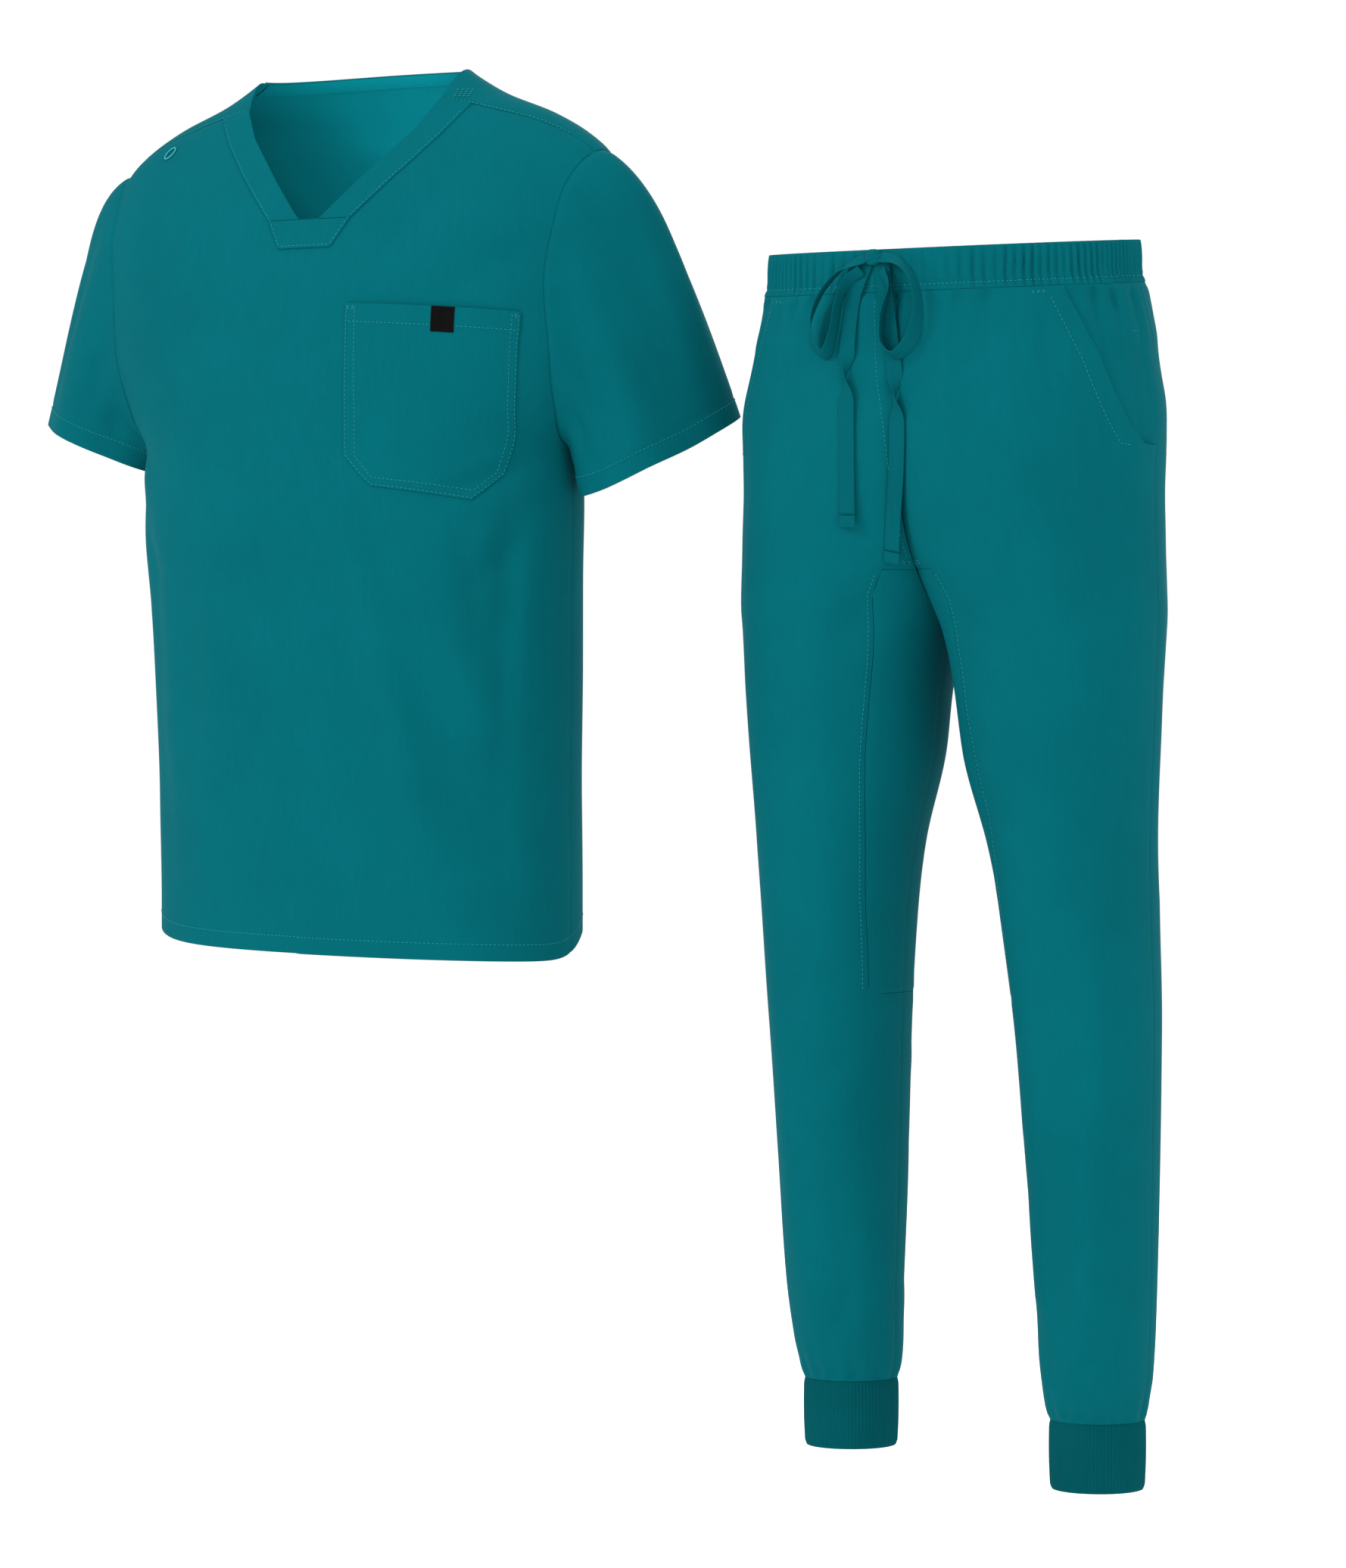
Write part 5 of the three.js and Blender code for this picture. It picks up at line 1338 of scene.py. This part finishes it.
@dataclass
class ScrubTrousers:
    """Jogger trousers: panels of both legs, gathered waistband and ribbed cuffs."""

    finishes: Finishes
    sewing: Stitching
    cloth: float = 1.0
    seam_width: float = 2.4
    seam_depth: float = 0.5
    legs: tuple[LegForm, ...] = (
        LegForm(
            1,
            (
                Crease(20, -226, 34, -330, 11, -2.2, 3), Crease(58, -222, 66, -350, 12, -2.0, -4),
                Crease(98, -222, 108, -340, 11, 1.8, 4), Crease(120, -216, 128, -300, 8, -1.8, -2),
                Crease(14, -436, 92, -500, 14, -2.4, 6), Crease(26, -470, 118, -560, 16, -1.8, 6),
                Crease(36, -560, 60, -690, 12, -2.0, -4), Crease(100, -380, 132, -620, 22, -2.0, -8),
                Crease(68, -640, 80, -820, 16, 1.8, 5), Crease(112, -700, 120, -930, 20, -2.6, 5),
                Crease(140, -820, 90, -900, 12, -2.0, 4), Crease(92, -930, 108, -1070, 13, -2.4, -4),
                Crease(140, -940, 118, -1060, 11, 2.0, 3), Crease(76, -1010, 104, -1095, 9, -1.8, 3),
                Crease(140, -1050, 96, -1092, 8, -1.6, 2),
            ),
            (
                Crease(14, -300, 60, -440, 20, -3.0, 8), Crease(24, -420, 110, -500, 15, -3.0, 8),
                Crease(26, -470, 122, -560, 14, -2.4, 8), Crease(80, -230, 96, -360, 14, 2.0, -4),
                Crease(100, -560, 118, -760, 18, -2.4, 6), Crease(66, -760, 140, -820, 12, -2.6, 5),
                Crease(64, -820, 142, -870, 12, -2.2, -4), Crease(90, -900, 110, -1070, 14, -2.4, 4),
                Crease(136, -930, 120, -1080, 12, 2.0, -3), Crease(80, -1030, 120, -1094, 9, -2.0, 2),
            ),
        ),
        LegForm(
            -1,
            (
                Crease(24, -224, 34, -320, 11, -2.2, 3), Crease(66, -222, 74, -345, 13, -1.8, -4),
                Crease(104, -224, 116, -350, 11, 1.8, 4), Crease(12, -436, 84, -506, 14, -2.2, 6),
                Crease(44, -350, 70, -560, 20, -1.6, 6), Crease(96, -420, 120, -640, 20, -1.8, -8),
                Crease(84, -660, 74, -830, 17, 1.8, 5), Crease(120, -700, 128, -900, 17, -2.0, -5),
                Crease(76, -820, 130, -880, 12, -1.8, 4), Crease(96, -930, 90, -1080, 13, -2.2, 4),
                Crease(128, -960, 120, -1070, 10, 1.8, 3), Crease(82, -1020, 116, -1086, 9, -1.8, 3),
            ),
            (
                Crease(16, -310, 64, -450, 20, -3.0, 8), Crease(24, -424, 112, -506, 15, -2.8, 8),
                Crease(28, -480, 120, -566, 14, -2.4, 8), Crease(84, -232, 92, -350, 14, 2.0, 4),
                Crease(104, -570, 112, -770, 18, -2.4, -6), Crease(68, -750, 142, -800, 12, -2.6, 5),
                Crease(66, -812, 140, -850, 12, -2.2, -4), Crease(96, -910, 104, -1060, 14, -2.4, 4),
                Crease(130, -950, 122, -1070, 12, 2.0, -3), Crease(84, -1020, 124, -1082, 9, -2.0, 2),
            ),
        ),
    )
    waist: WaistForm = field(default_factory=WaistForm)

    def build(self) -> None:
        """Builds all the pieces of the trousers and sews their lines."""
        for leg in self.legs:
            self._leg(leg)
            self._cuff(leg.side)
        self._waistband()
        self._sew()

    @staticmethod
    def _levels(rows: int, top: float, foot: float) -> Array:
        """Levels from top to foot, closer together at both ends: a share less a part of its own sine."""
        s = np.linspace(0, 1, rows)
        return (top + (foot - top) * (s - 0.62 * np.sin(2 * np.pi * s) / (2 * np.pi)))[:, None]

    def _leg(self, leg: LegForm) -> None:
        """Front, back, inner thigh panel and pocket facing of one leg."""
        word = "left" if leg.side > 0 else "right"
        cut = LegCut(leg.side)
        level = self._levels(158, WAIST_SEAM - 0.3, CUFF_TOP + 0.3)

        def face(first: float, last: float, columns: int, levels: Array, sunk: float = 0.0) -> Patch:
            """Part of the leg between two angles, sunk inwards away from the waist and side seams."""
            angle = np.linspace(first, last, columns)[None, :].repeat(len(levels), 0)
            z = levels + 0 * angle
            from_waist = 1 - np.exp(-(((WAIST_SEAM - z) / 7) ** 2))
            from_side = 1 - np.exp(-(((np.pi / 2 - angle) * 78 / 7) ** 2))
            return leg.patch(angle, z, (angle * 75, z), -sunk * from_waist * from_side)

        def piece(name: str, node: str, patch: Patch, flat: tuple[float, float], area: float, held: str) -> None:
            """Makes one cut of this leg."""
            cloth_piece(
                f"{name}_{word}_cloth", f"{node}_{word}", patch, self.cloth, self.finishes.poplin, Slot.POPLIN,
                shift=PAIR_X,
            )

        front = face(-1.6, 1.6, 150, level).clip(cut.front).clip(cut.middle)
        front = front.clip(cut.outside_inner).clip(cut.before_mouth)
        back = face(np.pi / 2 - 0.04, 3 * np.pi / 2 + 0.04, 112, level).clip(cut.back).clip(cut.middle)
        back = back.clip(cut.outside_inner)
        inner = face(-2.75, -0.42, 76, self._levels(110, PANEL_TOP + 4, PANEL_FOOT - 10))
        inner = inner.clip(cut.inner).clip(cut.middle)
        facing = face(0.8, 1.62, 60, self._levels(64, WAIST_SEAM - 0.3, -356.0), 2.3)
        facing = facing.clip(cut.front).clip(cut.facing)
        for patch in (front, back, inner):
            for line in (cut.front, cut.outside_inner, cut.middle):
                patch.press(line, self.seam_width, self.seam_depth)
        front.press(cut.before_mouth, 7.0, -0.7)
        facing.press(cut.welt, 1.4, 0.9)
        piece("leg_front", "trouser_front", front, (0.26, 0.90), 0.165, "draped")
        piece("leg_back", "trouser_back", back, (0.28, 0.91), 0.185, "draped")
        piece("inner_thigh", "inner_thigh_panel", inner, (0.15, 0.345), 0.042, "draped")
        piece("pocket_facing", "hip_pocket_facing", facing, (0.09, 0.15), 0.0076, "laid")

    def _cuff(self, side: int) -> None:
        """Ribbed cuff: an open tube with a doubled, rounded foot."""
        word = "left" if side > 0 else "right"
        form = CuffForm(side)
        angle = np.linspace(-np.pi, np.pi, 84 * 6 + 1)[None, :].repeat(16, 0)
        level = self._levels(16, CUFF_TOP, CUFF_BOTTOM) + 0 * angle
        patch = form.patch(angle, level, (angle * 38, level))
        cloth_piece(
            f"rib_cuff_{word}", f"ankle_cuff_{word}", patch, 1.8, self.finishes.rib, Slot.RIB,
            shift=PAIR_X,
        )

    def _waistband(self) -> None:
        """Gathered waistband: an open tube over its elastic."""
        angle = np.linspace(0, 2 * np.pi, 1261)[None, :].repeat(20, 0)
        lip = WAIST_SEAM - np.array([0.4, 1.0, 1.8])[:, None]
        level = np.concatenate([self._levels(17, WAIST_TOP, WAIST_SEAM), lip]) + 0 * angle
        patch = self.waist.patch(angle, level, (angle * 130, level))
        cloth_piece(
            "waistband_casing", "waistband", patch, 2.2, self.finishes.poplin, Slot.POPLIN,
            shift=PAIR_X,
        )

    def _sew(self) -> None:
        """Stitch line of the waistband, topstitching of the pocket mouths, the fly line and its tack."""
        angle = np.linspace(0, 2 * np.pi, 1400)
        _, points, normals = self.waist.face(angle, np.full(1400, WAIST_SEAM + 5), 0.25)
        self.sewing.add(points, normals, PAIR_X)
        for leg in self.legs:
            z = np.linspace(-214, -337, 90)
            x = straight(POCKET_MOUTH, "x", z) - 9.0
            self.sewing.add(*leg.face(leg.angle_at(x, z), z, 0.3)[1:], PAIR_X)
            for row in (-209.4, -210.6):
                x = np.linspace(108, 118, 12)
                z = np.full(12, row)
                self.sewing.add(*leg.face(leg.angle_at(x, z), z, 0.1)[1:], PAIR_X)
            x = np.linspace(167, leg_side(-244.0) - 1.0, 20)
            z = np.full(20, -244.0)
            sunk = 2.3 * (1 - np.exp(-(((np.pi / 2 - leg.angle_at(x, z)) * 78 / 7) ** 2)))
            self.sewing.add(*leg.face(leg.angle_at(x, z), z, 0.15 - sunk)[1:], PAIR_X)
            z = np.linspace(PANEL_TOP - 4, PANEL_FOOT + 2, 160)
            x = straight(INNER_PANEL, "x", z) + 3.2
            _, points, normals = leg.face(leg.angle_at(x, z), z, 0.02)
            self.sewing.add(points, normals, PAIR_X)
        left, right = self.legs
        z = np.linspace(-212, -424, 100)
        x = np.interp(z, [-424, -346, -311, -262, -212], [3.0, 6.0, 9.0, 14.5, 16.5])
        self.sewing.add(*right.face(right.angle_at(x, z), z, 0.05)[1:], PAIR_X)
        for row in (-427.0, -428.2, -429.4):
            x = np.linspace(1, 11, 12)
            z = np.full(12, row)
            self.sewing.add(*left.face(left.angle_at(x, z), z, 0.1)[1:], PAIR_X)
            self.sewing.add(*right.face(right.angle_at(x, z), z, 0.1)[1:], PAIR_X)


# ---------------------------------------------------------------- the drawstring


@dataclass(frozen=True)
class TapeRun:
    """One run of the tape: its route from the knot as x, z and distance out, and where it twists over."""

    name: str
    nodes: tuple[str, ...]
    route: tuple[tuple[float, float, float], ...]
    twist: float | None = None
    tip: bool = False
    lean: float = 0.0


@dataclass
class Drawstring:
    """Flat tape tied in a bow: two loops and two tails with folded ends, all leaving the knot."""

    finishes: Finishes
    leg: LegForm
    width: float = 13.5
    cloth: float = 1.2
    tip_length: float = 9.5
    tip_gap: float = 0.4
    knot: tuple[float, float, float] = (-17.0, -187.0, 4.9)
    runs: tuple[TapeRun, ...] = (
        TapeRun(
            "bow_loop_left", ("drawstring_loop_left",),
            (
                (-11, -187, 5), (4, -190, 7.5), (21, -205, 9.5), (27, -230, 9), (21, -254, 7.5),
                (6, -266, 6), (-5, -256, 5.2), (-6, -235, 5.6), (-2, -213, 6.4), (-9, -197, 7.2),
            ),
            lean=1.45,
        ),
        TapeRun(
            "bow_loop_right", ("drawstring_loop_right",),
            (
                (-23, -187, 5), (-41, -195, 7.5), (-59, -213, 9.5), (-69, -236, 8.5), (-68, -254, 6.5),
                (-56, -263, 5), (-49, -246, 5.2), (-45, -222, 5.8), (-37, -205, 6.6), (-26, -197, 7.2),
            ),
            lean=-1.45,
        ),
        TapeRun(
            "bow_tail_left", ("drawstring_tail_left",),
            (
                (-10.5, -190, 2.6), (-7, -215, 2.8), (-1, -250, 2.4), (5, -290, 1.8), (5, -325, 1.6),
                (2, -360, 1.6), (-5, -400, 1.6), (-9, -420, 1.6),
            ),
            twist=108.0, tip=True,
        ),
        TapeRun(
            "bow_tail_right", ("drawstring_tail_right",),
            (
                (-24.3, -190, 2.6), (-34, -215, 2.6), (-38, -250, 2.2), (-38, -290, 1.8), (-38, -340, 1.6),
                (-39, -391, 1.6),
            ),
            twist=92.0, tip=True,
        ),
    )

    def build(self) -> None:
        """Builds the knot, the loops, the tails and their ends."""
        knot = self._knot()
        for run in self.runs:
            path, frames = self._path(run)
            pieces = [knot] if run.name == "bow_loop_left" else []
            if run.tip:
                pieces.append(self._tip(run, path, frames))
            self._tape(run, path, frames)

    def _places(self, run: TapeRun) -> Array:
        """Points of a route: as far in front of the cloth as its most forward part over the tape's width."""
        x, z, out = np.array(run.route).T
        spread = np.array([-0.6, -0.3, 0.0, 0.3, 0.6])[:, None] * self.width
        y = self.leg.front_y(x[None, :] + spread, z[None, :] + 0 * spread).min(0) - out
        return np.stack([x, y, z], -1)

    @staticmethod
    def _curve(places: Array, count: int) -> Array:
        """Smooth curve through places whose speed follows the square root of each span, evenly resampled."""
        ends = np.concatenate([[2 * places[0] - places[1]], places, [2 * places[-1] - places[-2]]])
        gap = np.sqrt(np.linalg.norm(np.diff(ends, axis=0), axis=1))
        t = np.linspace(0, len(places) - 1 - 1e-9, 60 * len(places))
        i = t.astype(int)
        w = (t - i)[:, None]
        p0, p1, p2, p3 = ends[i], ends[i + 1], ends[i + 2], ends[i + 3]
        d0, d1, d2 = gap[i][:, None], gap[i + 1][:, None], gap[i + 2][:, None]
        t1 = ((p1 - p0) / d0 - (p2 - p0) / (d0 + d1) + (p2 - p1) / d1) * d1
        t2 = ((p2 - p1) / d1 - (p3 - p1) / (d1 + d2) + (p3 - p2) / d2) * d1
        line = p1 + t1 * w + (-3 * p1 + 3 * p2 - 2 * t1 - t2) * w**2 + (2 * p1 - 2 * p2 + t1 + t2) * w**3
        far = np.concatenate([[0], np.cumsum(np.linalg.norm(np.diff(line, axis=0), axis=1))])
        at = np.linspace(0, far[-1], count)
        return np.stack([np.interp(at, far, line[:, k]) for k in range(3)], -1)

    def _path(self, run: TapeRun) -> tuple[Array, tuple[Array, Array, Array]]:
        """Centreline of a run with its sideways and outward directions and its width along it."""
        line = self._curve(self._places(run), 90)
        along = unit(np.gradient(line, axis=0))
        across = unit(np.cross(along, np.array([0.0, -1.0, 0.0])))
        up = np.cross(across, along)
        far = np.concatenate([[0], np.cumsum(np.linalg.norm(np.diff(line, axis=0), axis=1))])
        width = np.full(len(line), self.width)
        if run.twist is not None:
            turn = np.pi * np.clip((far - run.twist) / 44 + 0.5, 0, 1)
            turn = turn - 0.5 * np.sin(2 * turn) * 0.5
            edge_on = np.sin(turn) ** 2
            cos, sin = np.cos(turn)[:, None], np.sin(turn)[:, None]
            across, up = across * cos + up * sin, up * cos - across * sin
            width = width * (1 - 0.55 * edge_on)
            line = line + np.array([0.0, -2.6, 0.0]) * edge_on[:, None]
        if run.lean:
            share = far / far[-1]
            near_knot = np.clip(np.minimum(share, 1 - share) / 0.16, 0, 1)
            ramp = near_knot * near_knot * (3 - 2 * near_knot)
            turn = run.lean * (0.35 + 0.65 * ramp) * (1 - 0.42 * np.exp(-(((share - 0.5) / 0.12) ** 2)))
            cos, sin = np.cos(turn)[:, None], np.sin(turn)[:, None]
            across, up = across * cos + up * sin, up * cos - across * sin
            width = width * (0.7 + 0.26 * ramp)
            line = line + np.array([0.0, -2.2, 0.0]) * ramp[:, None]
        return line, (across, up, width)

    def _section(self, count: int = 18) -> tuple[Array, Array]:
        """Flat section with round edges: signed powers of the cosine and the sine."""
        a = 2 * np.pi * (np.arange(count) + 0.5) / count
        return signed_power(np.cos(a), 0.55), signed_power(np.sin(a), 0.8)

    def _tube(self, name: str, line: Array, frames: tuple[Array, Array, Array], cloth: float) -> bpy.types.Object:
        """Flat tube along a line, closed by a fan at each end."""
        across, up, width = frames
        wide, thick = self._section()
        n, m = len(line), len(wide)
        fold = 1 - 0.12 * np.exp(-((np.abs(wide) - 0.72) / 0.12) ** 2)
        rings = line[:, None, :] + (0.5 * width[:, None] * wide)[..., None] * across[:, None, :]
        rings = rings + (0.5 * cloth * thick * fold)[None, :, None] * up[:, None, :]
        r, c = np.meshgrid(np.arange(n - 1), np.arange(m), indexing="ij")
        right = (c + 1) % m
        quads = np.stack([r * m + c, (r + 1) * m + c, (r + 1) * m + right, r * m + right], -1).reshape(-1, 4)
        faces = np.concatenate([quads[:, [0, 1, 2]], quads[:, [0, 2, 3]]])
        a = np.arange(m)
        b = (a + 1) % m
        last = (n - 1) * m
        caps = np.concatenate([
            np.stack([np.full(m, n * m), a, b], -1), np.stack([np.full(m, n * m + 1), last + b, last + a], -1)
        ])
        points = np.concatenate([rings.reshape(-1, 3), line[:1], line[-1:]])
        faces = np.concatenate([faces, caps])
        p, q, s = (points[faces[:, k]] for k in range(3))
        if float((p * np.cross(q, s)).sum()) < 0:
            faces = faces[:, ::-1]
        far = np.concatenate([[0], np.cumsum(np.linalg.norm(np.diff(line, axis=0), axis=1))])
        uv = np.stack(np.broadcast_arrays(wide[None, :] * self.width / 2, far[:, None]), -1).reshape(-1, 2)
        uv = np.concatenate([uv, [[0, 0], [0, far[-1]]]])
        return make_mesh(name, points + np.array([PAIR_X, 0, 0]), faces, uv)

    def _tape(
        self, run: TapeRun, line: Array, frames: tuple[Array, Array, Array]
    ) -> None:
        piece = self._tube(run.name, line, frames, self.cloth)
        settle(piece, self.finishes.tape, Slot.TAPE, *run.nodes)

    def _tip(self, run: TapeRun, line: Array, frames: tuple[Array, Array, Array]) -> bpy.types.Object:
        """Folded and stitched end: a short, thicker length that carries on the tail."""
        along = unit(line[-1] - line[-4])
        start = line[-1] + along * self.tip_gap + np.array([0, -0.2, 0])
        places = start + along * np.linspace(0, self.tip_length, 12)[:, None]
        across = np.repeat(frames[0][-1:], 12, 0)
        up = np.repeat(frames[1][-1:], 12, 0)
        width = np.full(12, 14.4)
        name = run.name.replace("tail", "end")
        piece = self._tube(name, places, (across, up, width), 2.0)
        node = run.nodes[0].replace("tail", "tip")
        return settle(piece, self.finishes.tape, Slot.TAPE, node)

    def _knot(self) -> bpy.types.Object:
        """Knot: a rounded wrap of the tape, grooved where its turns cross."""
        x, z, out = self.knot
        y = float(self.leg.front_y(np.array([x]), np.array([z]))[0]) - out
        u = np.linspace(0, 2 * np.pi, 72, endpoint=False)[None, :]
        v = np.linspace(0.02, np.pi - 0.02, 48)[:, None]
        round_off = np.sin(v) ** 0.75
        wrap = 0.55 * np.cos(3 * u + 4 * v) + 0.35 * np.cos(9 * v + 2 * u)
        size = np.array([8.0, 4.0, 7.0])
        shape = np.stack(np.broadcast_arrays(
            round_off * np.cos(u), round_off * np.sin(u), np.cos(v) + 0 * u
        ), -1)
        groove = 0.55 * wrap * np.sin(v)
        points = np.array([x, y, z]) + shape * size + unit(shape) * (groove - 0.45)[..., None]
        n, m = 48, 72
        r, c = np.meshgrid(np.arange(n - 1), np.arange(m), indexing="ij")
        right = (c + 1) % m
        quads = np.stack([r * m + c, (r + 1) * m + c, (r + 1) * m + right, r * m + right], -1).reshape(-1, 4)
        a = np.arange(m)
        b = (a + 1) % m
        caps = np.concatenate([
            np.stack([np.full(m, n * m), a, b], -1),
            np.stack([np.full(m, n * m + 1), (n - 1) * m + b, (n - 1) * m + a], -1),
        ])
        faces = np.concatenate([quads[:, [0, 1, 2]], quads[:, [0, 2, 3]], caps])
        ends = np.stack([points[0].mean(0), points[-1].mean(0)])
        flat = np.concatenate([points.reshape(-1, 3), ends])
        p, q, s = (flat[faces[:, k]] - np.array([x, y, z]) for k in range(3))
        if float((p * np.cross(q, s)).sum()) < 0:
            faces = faces[:, ::-1]
        uv = np.concatenate([np.stack(np.broadcast_arrays(u * 6, v * 6), -1).reshape(-1, 2), np.zeros((2, 2))])
        piece = make_mesh("bow_knot", flat + np.array([PAIR_X, 0, 0]), faces, uv)
        return settle(piece, self.finishes.tape, Slot.TAPE, "drawstring_knot")


# ---------------------------------------------------------------- the studio


@dataclass
class Studio:
    """Pale floor, soft lights and the camera at the photograph's angle."""

    azimuth: float = 28.0
    pitch: float = 0.6987
    place: tuple[float, float, float] = (2.3940, -3.9366, -0.5536)
    lens: float = 122.525
    floor_level: float = -1.300
    floor_size: float = 14.0

    def camera(self) -> None:
        """Camera whose frame is as high as its 36 mm sensor, with no shift and no depth of field."""
        data = bpy.data.cameras.new("photo_camera")
        data.sensor_fit = "VERTICAL"
        data.sensor_height = 36.0
        data.sensor_width = 36.0
        data.lens = self.lens
        data.clip_end = 100.0
        seen = bpy.data.objects.new("photo_camera", data)
        seen.location = self.place
        seen.rotation_euler = (math.radians(90 - self.pitch), 0.0, math.radians(self.azimuth))
        bpy.context.collection.objects.link(seen)
        bpy.context.scene.camera = seen

    def lights(self) -> None:
        """Large soft panels: a key over the camera's left, a fill on its right, one above and one behind."""
        panels = (
            ("key", (-1.9, -4.1, 2.0), 99.0, 1.5, (0.3, 0.0, -0.55)),
            ("fill", (3.8, -2.6, 0.6), 32.0, 2.8, (0.3, 0.0, -0.55)),
            ("above", (0.3, 0.2, 2.8), 30.0, 3.0, (0.3, 0.0, -0.55)),
            ("behind", (-0.4, 3.6, 1.4), 40.0, 2.8, (0.3, 0.0, -0.55)),
            ("neck", (0.02, -0.05, -0.085), 0.36, 0.10, (-0.02, 0.10, -0.095)),
        )
        for name, place, power, size, target in panels:
            data = bpy.data.lights.new(f"panel_{name}", "AREA")
            data.energy = power
            data.shape = "SQUARE"
            data.size = size
            lamp = bpy.data.objects.new(f"panel_{name}", data)
            lamp.location = place
            way = np.array(target) - np.array(place)
            flat = math.hypot(way[0], way[1])
            lamp.rotation_euler = (math.atan2(flat, -way[2]), 0.0, math.atan2(way[1], way[0]) - math.pi / 2)
            bpy.context.collection.objects.link(lamp)

    def world(self) -> None:
        """Plain pale surroundings and the standard view."""
        world = bpy.data.worlds.new("studio")
        world.use_nodes = True
        back = world.node_tree.nodes["Background"]
        back.inputs["Color"].default_value = (1.0, 1.0, 1.0, 1.0)
        back.inputs["Strength"].default_value = 1.0
        bpy.context.scene.world = world
        bpy.context.scene.view_settings.view_transform = "Standard"
        bpy.context.scene.view_settings.look = "None"

    def floor(self) -> None:
        """Plain pale floor a little below the cuffs, so no dark shadow meets them."""
        half = self.floor_size / 2
        s = np.linspace(-half, half, 5) / MM
        x, y = np.meshgrid(s, s)
        points = np.stack([x, y, np.full(x.shape, self.floor_level / MM)], -1).reshape(-1, 3)
        piece = make_mesh("studio_floor", points, grid_faces(5, 5)[:, ::-1])
        piece.data.materials.append(PlainFinish("painted_studio_floor", "#ffffff", 0.95, 30.0, 0.99).material())


def main() -> None:
    """Builds the camera and the cords, then the garments, then the studio."""
    logging.basicConfig(level=logging.INFO, format="%(message)s")
    studio = Studio()
    studio.camera()
    finishes = Finishes()
    sewing = Stitching()
    trousers = ScrubTrousers(finishes, sewing)
    Drawstring(finishes, trousers.legs[0]).build()
    ScrubTop(finishes, sewing).build()
    trousers.build()
    sewing.build("sewing_thread", finishes.thread, Slot.POPLIN)
    studio.lights()
    studio.world()
    studio.floor()


if __name__ == "__main__":
    main()
